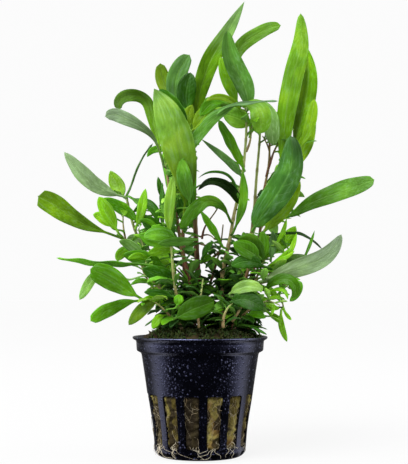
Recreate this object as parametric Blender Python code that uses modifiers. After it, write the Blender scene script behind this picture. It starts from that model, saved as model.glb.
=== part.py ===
"""A potted hygrophila: a black slotted net pot, its rockwool plug, the stems and the leaves.

Sizes are in millimetres and become metres in the meshes. +Z is up, the origin is the middle of the pot's
foot, and the front of the plant looks along -Y.
"""
from dataclasses import dataclass
from math import cos, pi, radians, sin

import bmesh
import bpy
import numpy as np

MM = 0.001

# The pot: radii and heights of a 5 cm net pot.
RIM_RADIUS = 27.4
RIM_HEIGHT = 48.0
COLLAR_RADIUS = 25.9
COLLAR_FOOT = 41.9
WALL_MIDDLE = 22.7
WALL_TOP_RADIUS = 23.7
WALL_FOOT_RADIUS = 18.3
FOOT_RADIUS = 15.8
FOOT_CORNER = 3.2
WALL = 1.2
POT_STEPS = 28

# The slots: openings round the lower half of the wall, and windows in the corner of the foot under them.
SLOT_COUNT = 14
SLOT_FIRST = -9.2
SLOT_TOP = 25.3
SLOT_FOOT = 4.4
SLOT_WIDTH_TOP = 6.5
SLOT_WIDTH_FOOT = 5.3
WINDOW_WIDTH = 3.6
WINDOW_TOP = 2.8
WINDOW_FOOT = 1.0

# The plug stands clear of the pot all round and rises a little over the rim.
PLUG_GAP = 0.5
PLUG_STEPS = 20
PLUG_CROWN = ((0.0, 51.6), (9.0, 51.3), (18.0, 50.4), (22.0, 49.2))

# The plant is laid out as it is seen from the front: across and up in the plane of the pot's axis, then how
# far behind that plane each place lies. Heights are taken from the near edge of the foot, which is seen
# NEAR_EDGE_DROP under the level that the pot stands on.
EYE = (1.6, -460.0, 67.0)
NEAR_EDGE_DROP = 3.5

LEAF_THICKNESS = 0.5
LEAF_STEPS = 8
SHORT_LEAF = 26.0
SHORT_LEAF_STEPS = 6
SPROUT_STEPS = 4
SPROUT_DROOP = 0.4
STALK_WIDTH = 1.1
TIP_WIDTH = 0.7
STEM_SIDES = 2
STEM_STEP = 10.8
STEM_END_GAP = 0.7


@dataclass(frozen=True)
class Leaf:
    """A leaf: its midrib from the stem to the tip as seen from the front, and how wide and how turned it is."""

    name: str
    midrib: tuple
    width: float
    face: tuple = (0.0, 0.0)
    widest: float = 0.5
    point: float = 1.6
    stalk: float = 0.12
    fold: float = 14.0
    colour: str = "green"


@dataclass(frozen=True)
class Sprout:
    """A young leaf fused to its stem: the share of the stem's length that it leaves at, its direction from
    above (0 to the right, 90 to the back), its rise over level at its foot, its length and its width."""

    share: float
    azimuth: float
    rise: float
    length: float
    width: float


@dataclass(frozen=True)
class Stem:
    """A stem: the places that it passes as seen from the front, its thickness at its foot and its top, and
    the young leaves that grow from it."""

    name: str
    route: tuple
    thick: tuple
    colour: str
    sprouts: tuple = ()


COLOURS = {
    "black": (0.012, 0.013, 0.020),
    "wool": (0.090, 0.080, 0.035),
    "green": (0.080, 0.260, 0.022),
    "lime": (0.240, 0.420, 0.030),
    "dark": (0.018, 0.095, 0.012),
    "pale": (0.300, 0.420, 0.220),
    "olive": (0.300, 0.280, 0.110),
    "red": (0.160, 0.050, 0.022),
}

STEMS = (
    Stem("stem_front_left", ((-2.5, 55.5, -6), (-3.3, 66.4, -7), (-4.5, 74.6, -8), (-6.6, 83.6, -8),
                             (-8.6, 93, -8), (-10.3, 103.3, -8), (-12.7, 111.5, -7), (-13.7, 121, -6)),
         (2.0, 1.4), "red", (Sprout(0.1, 290, 30, 12, 6), Sprout(0.2, 262, 45, 11, 5.5))),
    Stem("stem_middle", ((0.5, 55, 0), (-0.2, 66.4, 0), (-1.2, 82.8, 0), (-2, 98.4, 1), (-2.5, 115.6, 2),
                         (-3, 134, 3)), (2.8, 1.6), "red", (Sprout(0.14, 75, 45, 10, 5),)),
    Stem("stem_olive", ((8.6, 55, -5), (8.8, 64.4, -6), (9, 74.2, -7), (10.3, 83.6, -7), (11.9, 89.8, -7),
                        (13.5, 99.2, -6), (16, 109.5, -5), (17.6, 119.7, -4), (18.9, 134, -3), (18.5, 147.5, -3)),
         (1.9, 1.2), "olive", (Sprout(0.06, 255, 25, 13, 6.5), Sprout(0.17, 280, 40, 12, 6))),
    Stem("stem_right_upright", ((12, 55, 4), (16, 70, 5), (19.5, 86, 6), (21.7, 98.4, 7), (23, 115.6, 7),
                                (23.8, 123.8, 7), (24.8, 139.5, 6)), (1.9, 1.2), "olive",
         (Sprout(0.1, 25, 20, 13, 6), Sprout(0.25, 80, 35, 12, 5.5), Sprout(0.62, 35, 45, 16, 6.5))),
    Stem("stem_right_brown", ((15, 55, -1), (19.5, 70.5, -1), (22.6, 82, -1), (24.4, 93, 0), (26.2, 111.5, 1),
                              (27.1, 115.6, 1), (28.3, 123.8, 1), (28.5, 131, 1)), (1.8, 1.1), "red",
         (Sprout(0.2, 15, 25, 12, 6),)),
    Stem("stem_right_low", ((13.5, 55, -9), (17.6, 72.6, -10), (21.5, 84, -10), (25.4, 94.5, -9),
                            (29.5, 98.6, -8)), (1.8, 1.2), "red",
         (Sprout(0.1, 305, 15, 12, 6), Sprout(0.24, 270, 40, 10, 5))),
    Stem("stem_pale_front", ((-7.5, 55.5, -12), (-9.4, 67.7, -14), (-11.1, 77.9, -15), (-11.5, 86.9, -15),
                             (-12.1, 92, -15)), (1.6, 1.3), "olive",
         (Sprout(0.12, 235, 10, 12, 6), Sprout(0.36, 210, 30, 11, 5.5))),
    Stem("stem_left", ((-9, 55, -3), (-12.3, 66.4, -3), (-17.2, 71.3, -3), (-21.3, 76.7, -3), (-24.6, 82, -2),
                       (-28.7, 86.9, -2), (-31.2, 90.2, -2)), (1.8, 1.2), "olive",
         (Sprout(0.1, 195, 5, 13, 6),)),
    Stem("stem_left_upper", ((-8, 55, 4), (-15, 70, 5), (-21, 82, 6), (-25.4, 92, 6), (-28.7, 101, 5),
                             (-29.9, 107.4, 4)), (1.8, 1.2), "olive",
         (Sprout(0.12, 150, 15, 13, 6), Sprout(0.5, 120, 30, 15, 6.5))),
    Stem("stem_sprig", ((19, 54.5, -3), (25.4, 63, -3), (30, 68, -3), (33.6, 67, -4), (34, 62.5, -4)),
         (1.2, 0.9), "olive"),
    Stem("stem_back", ((-3, 54.5, 11), (-6, 75, 14), (-7, 100, 17), (-6.5, 120, 18), (-5, 136, 18)),
         (2.1, 1.3), "red", (Sprout(0.06, 125, 15, 13, 6), Sprout(0.15, 80, 35, 12, 6),
                             Sprout(0.38, 55, 35, 17, 7), Sprout(0.55, 150, 45, 17, 7))),
    Stem("stem_back_right", ((10, 54.5, 13), (16, 75, 18), (22, 95, 21), (30, 112, 21), (36, 124, 19)),
         (2.0, 1.3), "olive", (Sprout(0.07, 50, 10, 13, 6), Sprout(0.3, 120, 35, 15, 6.5),
                               Sprout(0.5, 30, 30, 16, 7))),
)

LEAVES = (
    # The left side
    Leaf("leaf_left_broad", ((-31.4, 91, -4), (-37, 93.1, -6), (-45, 96.1, -9), (-53.3, 100.6, -12),
                             (-59, 104.6, -13), (-66, 108.4, -14)), 9.0, (5, 15), 0.8, 1.15, 0.18, 14, "lime"),
    Leaf("leaf_left_pale", ((-30.6, 108.2, 4), (-35.7, 109.5, 5), (-41, 112, 6), (-45.1, 114.8, 7),
                            (-49.2, 118.8, 8), (-55.6, 126.5, 10)), 7.0, (190, 195), 0.5, 1.5, 0.1, 8, "pale"),
    Leaf("leaf_left_shaded", ((-24.2, 96.8, 1), (-28.7, 101.3, 0), (-32.8, 104.1, -1), (-36.9, 106.2, -2),
                              (-40.6, 107.4, -3)), 5.5, (20, 30), 0.5, 1.5, 0.1, 12, "green"),
    Leaf("leaf_left_level", ((-17, 79.5, -11), (-23.5, 80.6, -13), (-30.8, 80.8, -14), (-41, 81.2, -14),
                             (-49.2, 82, -13), (-58.4, 83.2, -12)), 6.2, (68, 74), 0.55, 1.5, 0.12, 10, "green"),
    Leaf("leaf_left_lower_broad", ((-23.4, 66.4, -14), (-29.5, 70.1, -16), (-34.4, 73.6, -18),
                                   (-39.4, 76.5, -19), (-44.7, 78.7, -20)),
         9.43, (5, 10), 0.66, 1.3, 0.1, 14, "green"),
    Leaf("leaf_left_drooping", ((-30, 74.5, -6), (-37, 77, -7), (-42.8, 75.8, -8), (-46.2, 71.2, -9),
                                (-49, 66.2, -10)), 4.2, (20, 0), 0.6, 1.6, 0.2, 8, "pale"),
    Leaf("leaf_left_lowest", ((-22.4, 66, -6), (-30.8, 64.8, -9), (-34.9, 63.1, -11), (-38, 61.8, -12),
                              (-41, 60.1, -13), (-44.5, 57.6, -14)), 5.8, (20, 15), 0.66, 1.2, 0.15, 10, "green"),
    Leaf("leaf_left_edge_on", ((-30, 108.8, 9), (-28.5, 112, 11), (-27.1, 116.4, 12), (-25.4, 120.5, 13),
                               (-23.4, 124.5, 14), (-19.4, 130, 15)), 3.4, (80, 84), 0.5, 1.5, 0.1, 12, "green"),
    Leaf("leaf_left_inner_upright", ((-15, 92.5, -2), (-15.4, 103, -3), (-15.4, 114, -4)),
         6.0, (64, 72), 0.5, 1.5, 0.1, 12, "dark"),
    Leaf("leaf_front_left_level", ((-12.8, 89.6, -17), (-17, 89.8, -19), (-20.4, 91, -20), (-25, 92.9, -21)),
         5.4, (10, 20), 0.5, 1.5, 0.1, 12, "green"),
    Leaf("leaf_left_middle_green", ((-14.4, 79.8, -5), (-20, 82.6, -7), (-26, 83.8, -8), (-31.4, 84.6, -9)),
         6.4, (20, 20), 0.5, 1.4, 0.1, 12, "green"),
    Leaf("leaf_left_middle_dark", ((-8.4, 72.6, -11), (-14, 75.4, -13), (-18.4, 77.2, -15), (-23.6, 78.8, -16)),
         7.4, (0, 30), 0.5, 1.4, 0.1, 12, "dark"),
    Leaf("leaf_left_low_lime", ((-16.6, 65.6, -14), (-21.4, 63.9, -19), (-25.4, 60.3, -22), (-29, 56, -24)),
         5.0, (-5, 5), 0.5, 1.3, 0.12, 10, "lime"),

    # The upper left
    Leaf("leaf_upper_left_arching", ((-15.2, 122.6, -2), (-17, 128.7, -1), (-18.7, 136.1, 0),
                                     (-20.3, 143.5, 0), (-22.1, 147.6, -1), (-25, 149.6, -2),
                                     (-28.7, 150.1, -4), (-32, 149, -6), (-33.6, 146.8, -7),
                                     (-33.4, 143.9, -8)),
         5.33, (15, 25), 0.7, 1, 0.08, 14, "lime"),
    Leaf("leaf_upper_left_grey_tip", ((-14.8, 120.5, -8), (-16.8, 127.5, -9), (-19.7, 133.2, -11),
                                      (-23.4, 136.5, -13), (-27.9, 139.2, -14), (-32, 141, -15),
                                      (-35.7, 142.1, -15), (-38.9, 141.2, -15)),
         5.74, (15, 15), 0.8, 2.2, 0.1, 14, "pale"),
    Leaf("leaf_front_big", ((-7, 98.4, -12), (-6.1, 105.4, -15.5), (-5.9, 111.5, -19.5),
                            (-6.4, 118.1, -22.5), (-7.6, 123.8, -24.5), (-9, 129.6, -25.5),
                            (-10.9, 135.7, -26), (-13.7, 143.1, -25.5), (-16.4, 148.4, -24),
                            (-18.9, 152.7, -23)),
         13.53, (0, 10), 0.55, 1.9, 0.12, 14, "lime"),
    Leaf("leaf_upper_left_behind", ((-6.6, 139.4, 8), (-9.4, 146, 11), (-12.9, 152.1, 13),
                                    (-15.4, 157.4, 14), (-16.4, 163.2, 14)),
         6.97, (5, 10), 0.62, 1.1, 0.06, 14, "lime"),
    Leaf("leaf_top_left", ((-4.9, 136.9, 5), (-7.8, 143.5, 6), (-10.2, 149.6, 6), (-10.2, 155.4, 5),
                           (-8.2, 161.1, 4), (-4.3, 166.7, 2)),
         8.2, (0, 5), 0.68, 1.5, 0.1, 14, "green"),
    Leaf("leaf_tallest", ((-2.4, 136, 4), (-0.6, 149, 3), (1.9, 158.2, 2), (4.9, 165.6, 1), (8.6, 172, 0),
                          (12.1, 177.6, -1), (15.3, 183.4, -2), (18.2, 188.8, -3)),
         7.8, (0, 5), 0.44, 1.6, 0.08, 12, "lime"),
    Leaf("leaf_top_front", ((20.1, 144.7, -6), (18.9, 152.1, -9), (15.8, 159.1, -11), (12.7, 166, -12),
                            (11.5, 171.8, -12), (11.1, 176.7, -12)),
         8.2, (0, -5), 0.42, 0.95, 0.05, 14, "green"),
    Leaf("leaf_top_right", ((18.9, 146, 1), (15.2, 154.2, 4), (13.9, 163.2, 6), (15.6, 168.5, 7),
                            (19.3, 172.6, 7), (23.8, 175.5, 8), (28.7, 177.9, 8), (33.2, 179, 8)),
         6.15, (0, 0), 0.64, 1.1, 0.2, 14, "lime"),
    Leaf("leaf_top_arching", ((16.8, 143.9, -6.5), (13.5, 147.2, -11), (9.8, 149, -13), (5.7, 149.2, -14),
                              (2.5, 147.6, -15)),
         2.87, (20, 10), 0.5, 1.2, 0.08, 14, "lime"),
    Leaf("leaf_upper_long", ((-4.6, 128, -9), (-1.8, 134, -14), (4.1, 140.8, -17), (9.8, 144.6, -18.5),
                             (16.4, 146.2, -19), (25.4, 147.4, -19), (32, 147.6, -19)),
         5.4, (62, 72), 0.45, 1.5, 0.08, 12, "green"),
    Leaf("leaf_upper_drooping", ((18.9, 144, -1), (23, 146.4, -3), (27, 144.4, -5), (29, 138, -6),
                                 (30, 129.4, -6)), 7.4, (30, 10), 0.6, 1.4, 0.08, 12, "pale"),
    Leaf("leaf_centre_curled", ((16.8, 103.7, -8), (14.3, 109.1, -12), (8.6, 114, -16), (3.3, 114.4, -18),
                                (-0.8, 110.9, -19)),
         4.1, (10, 30), 0.35, 1, 0.1, 14, "dark"),
    Leaf("leaf_centre_arching", ((12.3, 98.4, -10), (9, 104.1, -15), (4.1, 106.6, -18),
                                 (-0.8, 104.5, -20.5), (-4.5, 100.4, -21.5), (-7.8, 95.3, -21.5)),
         5.74, (20, 30), 0.66, 1.2, 0.1, 14, "green"),
    Leaf("leaf_tall_right", ((34, 118.1, 0), (34, 124.6, -1), (34.4, 132, -2), (35.5, 143.5, -3),
                             (37.1, 152.5, -4), (39.2, 161.5, -5), (41, 169.7, -5), (41.6, 177.1, -5),
                             (41.4, 183.9, -5)),
         8.61, (0, -10), 0.55, 1.25, 0.03, 14, "lime"),
    Leaf("leaf_tall_right_behind", ((37.4, 125.6, 18), (41, 138.2, 17), (43.4, 148.4, 15), (44.6, 158.7, 13),
                                    (43.4, 170.4, 11)), 8.6, (0, 10), 0.5, 1.5, 0.1, 12, "lime"),
    Leaf("leaf_right_lobed", ((32, 116.4, 23), (37.6, 122.6, 26), (42, 129.6, 28), (44.4, 137.6, 29),
                              (45.6, 145.6, 28)), 8.8, (0, -10), 0.45, 1.2, 0.1, 12, "lime"),
    Leaf("leaf_right_broad_dark", ((21.3, 94.3, -13), (24, 99.2, -16), (28.7, 105.8, -19),
                                   (33.2, 111.9, -20), (36.3, 118.1, -20), (37.5, 123.4, -20),
                                   (37.7, 128.7, -20), (36.9, 133.2, -19)),
         11.27, (0, 0), 0.48, 1, 0.05, 14, "dark"),
    Leaf("leaf_right_big", ((30.6, 98.6, -7), (37.4, 100.8, -8), (42.2, 103.8, -9), (47.2, 106.6, -9),
                            (53.3, 109, -9), (59.5, 111.4, -9), (65.6, 113.3, -8), (71.2, 115.2, -8)),
         7.8, (0, 5), 0.66, 1.2, 0.1, 12, "green"),
    Leaf("leaf_right_edge_on", ((27, 92.4, -3), (34.4, 93.2, -3), (39.8, 93.2, -2), (44.6, 91.2, -1),
                                (49.8, 86.8, 0)), 5.0, (70, 80), 0.6, 1.5, 0.1, 10, "dark"),
    Leaf("leaf_right_pale", ((21.6, 73.2, -13), (27, 74.2, -15), (33, 76.6, -16), (39.8, 79.1, -17),
                             (45.9, 81.2, -17), (51.3, 84.2, -16), (54.9, 87.9, -15), (57.6, 92.8, -14)),
         7.6, (180, 190), 0.52, 1.3, 0.1, 8, "pale"),
    Leaf("leaf_right_behind_pale", ((24.6, 76.4, -5), (30, 79, -7), (36, 81.4, -8), (44, 83.4, -8)),
         6.2, (10, 20), 0.55, 1.3, 0.1, 12, "pale"),
    Leaf("leaf_right_yellow", ((27.4, 85.6, 4), (32, 88.2, 3), (35.8, 91.4, 2), (39, 96.2, 1)),
         6.0, (0, 20), 0.5, 1.4, 0.1, 12, "lime"),
    Leaf("leaf_right_low_round", ((26.2, 70.1, -13), (29.1, 73, -17), (32.8, 74.6, -20), (36.9, 73.8, -22),
                                  (38.9, 70.5, -22), (37.5, 66.8, -21)),
         4.71, (10, 20), 0.55, 1.2, 0.08, 14, "green"),
    Leaf("leaf_front_dark", ((24.6, 83, -15), (20, 86.1, -19), (13.4, 89.4, -21)),
         7.0, (0, 0), 0.5, 1.4, 0.1, 12, "green"),
    Leaf("leaf_sprig_left", ((27.1, 61.5, -1), (29.1, 60.1, -1), (31.6, 58.4, -2), (33.8, 56, -2)),
         2.67, (0, 0), 0.5, 1.3, 0.08, 14, "lime"),
    Leaf("leaf_sprig_right", ((33, 61.9, -6), (32.8, 58.2, -7), (33.6, 53.7, -8), (35.3, 49.2, -8)),
         2.67, (0, 0), 0.5, 1.3, 0.08, 14, "lime"),
    Leaf("leaf_front_low_round", ((-9.8, 58.8, -22), (-4.1, 61.9, -26), (1.2, 64, -28), (5.8, 65.6, -29)),
         8.4, (0, 0), 0.56, 1.0, 0.06, 8, "green"),
    Leaf("leaf_front_low_pale", ((11.9, 68.5, -19), (15.2, 70.5, -22), (19.3, 71.8, -24),
                                 (22.5, 71.5, -25), (25.4, 70.5, -25)),
         5.12, (10, 10), 0.52, 1.1, 0.1, 10, "pale"),
    Leaf("leaf_back_left", ((-7.4, 101, 20), (-9.6, 112, 28), (-11.6, 124, 35), (-13, 136, 40)),
         10.0, (20, 30), 0.5, 1.4, 0.1, 14, "green"),
    Leaf("leaf_back_middle", ((-5, 137, 21), (-4.4, 146, 31), (-2.4, 151.4, 42), (0.6, 151, 53)),
         9.6, (0, 0), 0.5, 1.4, 0.1, 14, "green"),
    Leaf("leaf_back_right", ((24, 96, 24), (28, 105, 34), (32, 112.4, 44), (35, 116.4, 54)),
         10.0, (0, 0), 0.5, 1.4, 0.1, 14, "dark"),
    Leaf("leaf_back_low_left", ((-10, 70, 10), (-13, 78, 21), (-16, 83.4, 33), (-19, 84.6, 45)),
         9.0, (0, 0), 0.5, 1.3, 0.1, 14, "lime"),
    Leaf("leaf_back_low_right", ((5.6, 67, 17), (9.6, 73, 28), (14, 75.4, 40), (19, 73, 50)),
         9.0, (0, 0), 0.5, 1.3, 0.1, 14, "green"),
)


def seen(place):
    """The real place, in mm, of one that is given as it is seen from the front and how far back it lies."""
    across, up, back = place
    in_plane = np.array([across, 0.0, up - NEAR_EDGE_DROP])
    eye = np.array(EYE)
    return eye + (in_plane - eye) * (back - EYE[1]) / -EYE[1]


def smooth_path(places, count):
    """Even places along the smooth curve through the given ones: a natural cubic over the chord lengths."""
    places = np.array(places, dtype=float)
    along = np.concatenate([[0.0], np.cumsum(np.linalg.norm(np.diff(places, axis=0), axis=1))])
    steps = np.diff(along)
    size = len(places)
    system = np.eye(size)
    right = np.zeros((size, 3))
    for i in range(1, size - 1):
        system[i, i - 1:i + 2] = steps[i - 1], 2 * (steps[i - 1] + steps[i]), steps[i]
        right[i] = 6 * ((places[i + 1] - places[i]) / steps[i] - (places[i] - places[i - 1]) / steps[i - 1])
    bends = np.linalg.solve(system, right)
    wanted = np.linspace(0.0, along[-1], count)
    i = np.clip(np.searchsorted(along, wanted) - 1, 0, size - 2)
    h = steps[i][:, None]
    a = (along[i + 1] - wanted)[:, None] / h
    b = 1 - a
    return (a * places[i] + b * places[i + 1]
            + ((a ** 3 - a) * bends[i] + (b ** 3 - b) * bends[i + 1]) * h ** 2 / 6)


def half_width(leaf, along):
    """Half the blade's width at a share of its length: a bare stalk, then a lens that is fullest at widest."""
    blade = np.clip((along - leaf.stalk) / (1 - leaf.stalk), 0.0, 1.0)
    full = (blade / leaf.widest) ** leaf.widest * ((1 - blade) / (1 - leaf.widest)) ** (1 - leaf.widest)
    least = np.where(along > 0.5, TIP_WIDTH, STALK_WIDTH) / 2
    return np.maximum(leaf.width / 2 * full ** leaf.point, least)


def leaf_frame(leaf, count):
    """The midrib's places, with the direction across the blade and the one its upper side looks along."""
    midrib = smooth_path([seen(place) for place in leaf.midrib], count)
    ahead = np.gradient(midrib, axis=0)
    ahead /= np.linalg.norm(ahead, axis=1)[:, None]
    flat = np.cross([0.0, 1.0, 0.0], ahead)
    flat /= np.linalg.norm(flat, axis=1)[:, None]
    front = np.cross(flat, ahead)
    turn = np.radians(np.linspace(leaf.face[0], leaf.face[1], count))[:, None]
    across = np.cos(turn) * flat + np.sin(turn) * front
    return midrib, across, np.cross(across, ahead)


def new_object(name, mesh, colour, collection):
    """Puts a mesh in the collection as a named object with its own material."""
    thing = bpy.data.objects.new(name, mesh)
    collection.objects.link(thing)
    paint(thing, colour)
    return thing


def paint(thing, colour):
    """Gives an object its own material."""
    material = bpy.data.materials.new(thing.name)
    material.use_nodes = True
    shader = material.node_tree.nodes["Principled BSDF"]
    shader.inputs["Base Color"].default_value = (*COLOURS[colour], 1.0)
    shader.inputs["Roughness"].default_value = 0.35 if colour == "black" else 0.5
    thing.data.materials.append(material)


def make_leaf(leaf, collection):
    """A leaf, with fewer steps along it where it is short."""
    ends = np.array(leaf.midrib, dtype=float)
    steps = SHORT_LEAF_STEPS if np.linalg.norm(ends[-1] - ends[0]) < SHORT_LEAF else LEAF_STEPS
    half = half_width(leaf, np.linspace(0, 1, steps + 1))
    return blade(leaf.name, leaf_frame(leaf, steps + 1), half, leaf.fold, leaf.colour, collection)


def blade(name, frame, half, fold, colour, collection):
    """A blade of the given half widths along its frame: a grid, folded up on both sides, with a thickness."""
    midrib, across, upper = frame
    steps = len(midrib) - 1
    mesh = bpy.data.meshes.new(name)
    grid = bmesh.new()
    bmesh.ops.create_grid(grid, x_segments=2, y_segments=steps, size=0.5)
    for vertex in grid.verts:
        step = round((vertex.co.y + 0.5) * steps)
        side = 2 * vertex.co.x
        out = side * half[step] * cos(radians(fold))
        lift = abs(side) * half[step] * sin(radians(fold))
        vertex.co = MM * (midrib[step] + out * across[step] + lift * upper[step])
    grid.to_mesh(mesh)
    grid.free()
    thing = new_object(name, mesh, colour, collection)
    thickness = thing.modifiers.new("thickness", "SOLIDIFY")
    thickness.thickness = LEAF_THICKNESS * MM
    thickness.offset = 0.0
    return thing


def sprout_frame(sprout, foot):
    """A young leaf's midrib: out from the stem, rising at first and bending over; its blade faces up."""
    along = np.linspace(0, 1, SPROUT_STEPS + 1)
    azimuth, rise = radians(sprout.azimuth), radians(sprout.rise)
    out = sprout.length * along * cos(rise)
    up = sprout.length * (along * sin(rise) - SPROUT_DROOP * along ** 2)
    midrib = foot + np.stack([out * cos(azimuth), out * sin(azimuth), up], axis=1)
    ahead = np.gradient(midrib, axis=0)
    ahead /= np.linalg.norm(ahead, axis=1)[:, None]
    across = np.tile([sin(azimuth), -cos(azimuth), 0.0], (len(along), 1))
    return midrib, across, np.cross(across, ahead)


def make_sprout(sprout, name, foot, colour, collection):
    """A young leaf's solid, which starts inside the stem so that the two join."""
    shape = Leaf(name, (), sprout.width, widest=0.55, point=1.2, stalk=0.2)
    half = half_width(shape, np.linspace(0, 1, SPROUT_STEPS + 1))
    return blade(name, sprout_frame(sprout, foot), half, shape.fold, colour, collection)


def meshed(thing, collection):
    """The mesh object of an evaluated curve, with its end caps welded on; the curve is removed."""
    mesh = bpy.data.meshes.new_from_object(thing.evaluated_get(bpy.context.evaluated_depsgraph_get()))
    weld = bmesh.new()
    weld.from_mesh(mesh)
    bmesh.ops.remove_doubles(weld, verts=weld.verts, dist=0.000001)
    weld.to_mesh(mesh)
    weld.free()
    name, place = thing.name, thing.matrix_world.copy()
    bpy.data.objects.remove(thing, do_unlink=True)
    solid = bpy.data.objects.new(name, mesh)
    solid.matrix_world = place
    collection.objects.link(solid)
    return solid


def make_stem(stem, collection, cutters):
    """A stem: a round tube with closed ends along a smooth path, thinner at its top, with its young leaves."""
    route = [seen(place) for place in stem.route]
    crown = np.array(PLUG_CROWN)
    route[0][2] = np.interp(np.hypot(*route[0][:2]), crown[:, 0], crown[:, 1]) + STEM_END_GAP
    length = sum(np.linalg.norm(b - a) for a, b in zip(route, route[1:]))
    count = max(5, round(length / STEM_STEP))
    path = smooth_path(route, count)
    curve = bpy.data.curves.new(stem.name, "CURVE")
    curve.dimensions = "3D"
    curve.bevel_depth = stem.thick[0] / 2 * MM
    curve.bevel_resolution = STEM_SIDES
    curve.use_fill_caps = True
    spline = curve.splines.new("POLY")
    spline.points.add(count - 1)
    for i, point in enumerate(spline.points):
        point.co = (*(path[i] * MM), 1.0)
        point.radius = 1 + (stem.thick[1] / stem.thick[0] - 1) * i / (count - 1)
    thing = new_object(stem.name, curve, stem.colour, collection)
    if not stem.sprouts:
        return thing
    bpy.context.view_layer.update()
    thing = meshed(thing, collection)
    for i, sprout in enumerate(stem.sprouts):
        foot = smooth_path(path, 101)[round(100 * sprout.share)]
        young = make_sprout(sprout, f"{stem.name}_sprout_{i + 1}", foot, "green", cutters)
        young.hide_render = True
        young.display_type = "WIRE"
        join = thing.modifiers.new(f"sprout_{i + 1}", "BOOLEAN")
        join.operation = "UNION"
        join.object = young
    return thing


def turned(name, profile, steps, collection, colour):
    """A turned shape: a profile of (radius, height) in mm, top to bottom down its outer side, swept round Z."""
    mesh = bpy.data.meshes.new(name)
    outline = bmesh.new()
    points = [outline.verts.new((radius * MM, 0.0, height * MM)) for radius, height in profile]
    for start, end in zip(points, points[1:]):
        outline.edges.new((start, end))
    if profile[0][0] > 0:
        outline.edges.new((points[-1], points[0]))
    outline.to_mesh(mesh)
    outline.free()
    thing = new_object(name, mesh, colour, collection)
    screw = thing.modifiers.new("turn", "SCREW")
    screw.steps = steps
    screw.render_steps = steps
    screw.use_merge_vertices = True
    screw.merge_threshold = 0.00001
    return thing


def corner(radius, count):
    """A quarter turn of the foot's corner, from the wall round to the base, as (out, up) in mm."""
    turns = [pi / 2 * i / count for i in range(count + 1)]
    return [(radius * cos(turn), radius * (1 - sin(turn))) for turn in turns]


def pot_profile():
    """The net pot's section: flared lip, collar, step, tapering wall, rounded foot, then back up inside."""
    outside = [(RIM_RADIUS - 0.5, RIM_HEIGHT), (RIM_RADIUS, RIM_HEIGHT - 0.5), (RIM_RADIUS - 0.4, RIM_HEIGHT - 1.2),
               (COLLAR_RADIUS, RIM_HEIGHT - 1.9), (COLLAR_RADIUS - 0.3, COLLAR_FOOT + 0.4),
               (COLLAR_RADIUS - 1.2, COLLAR_FOOT), (WALL_TOP_RADIUS, COLLAR_FOOT - 1.2),
               ((WALL_TOP_RADIUS + WALL_FOOT_RADIUS) / 2, WALL_MIDDLE)]
    outside.append((FOOT_RADIUS + FOOT_CORNER - 0.2, 11.0))
    base = FOOT_RADIUS - 0.5
    outside += [(base + out, up) for out, up in corner(FOOT_CORNER, 4)]
    inside = [(base, WALL)] + [(base + out, WALL + up) for out, up in reversed(corner(FOOT_CORNER - WALL, 3))][1:]
    inside += [(FOOT_RADIUS + FOOT_CORNER - 0.2 - WALL, 11.0),
               ((WALL_TOP_RADIUS + WALL_FOOT_RADIUS) / 2 - WALL, WALL_MIDDLE),
               (WALL_TOP_RADIUS - WALL, COLLAR_FOOT - 1.0), (COLLAR_RADIUS - WALL - 0.6, COLLAR_FOOT + 1.0),
               (COLLAR_RADIUS - WALL, RIM_HEIGHT - 1.6)]
    return outside, inside


def make_pot(collection, cutters):
    """The net pot: the turned cup, cut by the slots and the windows under them."""
    outside, inside = pot_profile()
    closed = [(0.0, 0.0)] + [(0.0, WALL)]
    pot = turned("net_pot", [closed[1]] + inside + outside + [closed[0]], POT_STEPS, collection, "black")
    mesh = bpy.data.meshes.new("pot_openings")
    boxes = bmesh.new()
    for i in range(SLOT_COUNT):
        turn = radians(SLOT_FIRST) + 2 * pi * i / SLOT_COUNT
        for foot, top, narrow, wide in ((SLOT_FOOT, SLOT_TOP, SLOT_WIDTH_FOOT, SLOT_WIDTH_TOP),
                                        (WINDOW_FOOT, WINDOW_TOP, WINDOW_WIDTH, WINDOW_WIDTH)):
            box = bmesh.ops.create_cube(boxes, size=1.0)["verts"]
            for vertex in box:
                reach = 16.0 + 8.0 * (vertex.co.y + 0.5)
                width = wide if vertex.co.z > 0 else narrow
                across = vertex.co.x * width
                height = top if vertex.co.z > 0 else foot
                vertex.co = (MM * (across * cos(turn) + reach * sin(turn)),
                             MM * (across * sin(turn) - reach * cos(turn)), MM * height)
    bmesh.ops.recalc_face_normals(boxes, faces=boxes.faces)
    boxes.to_mesh(mesh)
    boxes.free()
    cutter = bpy.data.objects.new("pot_openings", mesh)
    cutters.objects.link(cutter)
    cutter.hide_render = True
    cutter.display_type = "WIRE"
    cut = pot.modifiers.new("openings", "BOOLEAN")
    cut.operation = "DIFFERENCE"
    cut.object = cutter
    return pot


def make_plug(collection):
    """The rockwool plug: it fills the pot, clear of the wall all round, and stands a little over the rim."""
    inside = pot_profile()[1]
    wall = [(radius - PLUG_GAP, height + PLUG_GAP * (height < 4)) for radius, height in inside[::-1]]
    profile = list(PLUG_CROWN) + [(wall[0][0] - 0.3, RIM_HEIGHT - 1.0)] + wall[1:] + [(0.0, wall[-1][1])]
    return turned("rockwool_plug", profile, PLUG_STEPS, collection, "wool")


def main():
    """Clears the scene and builds the plant."""
    for thing in list(bpy.data.objects):
        bpy.data.objects.remove(thing, do_unlink=True)
    plant = bpy.data.collections.new("potted_hygrophila")
    cutters = bpy.data.collections.new("cutters")
    for collection in (plant, cutters):
        bpy.context.scene.collection.children.link(collection)
    make_pot(plant, cutters)
    make_plug(plant)
    for stem in STEMS:
        make_stem(stem, plant, cutters)
    for leaf in LEAVES:
        make_leaf(leaf, plant)


main()
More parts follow.
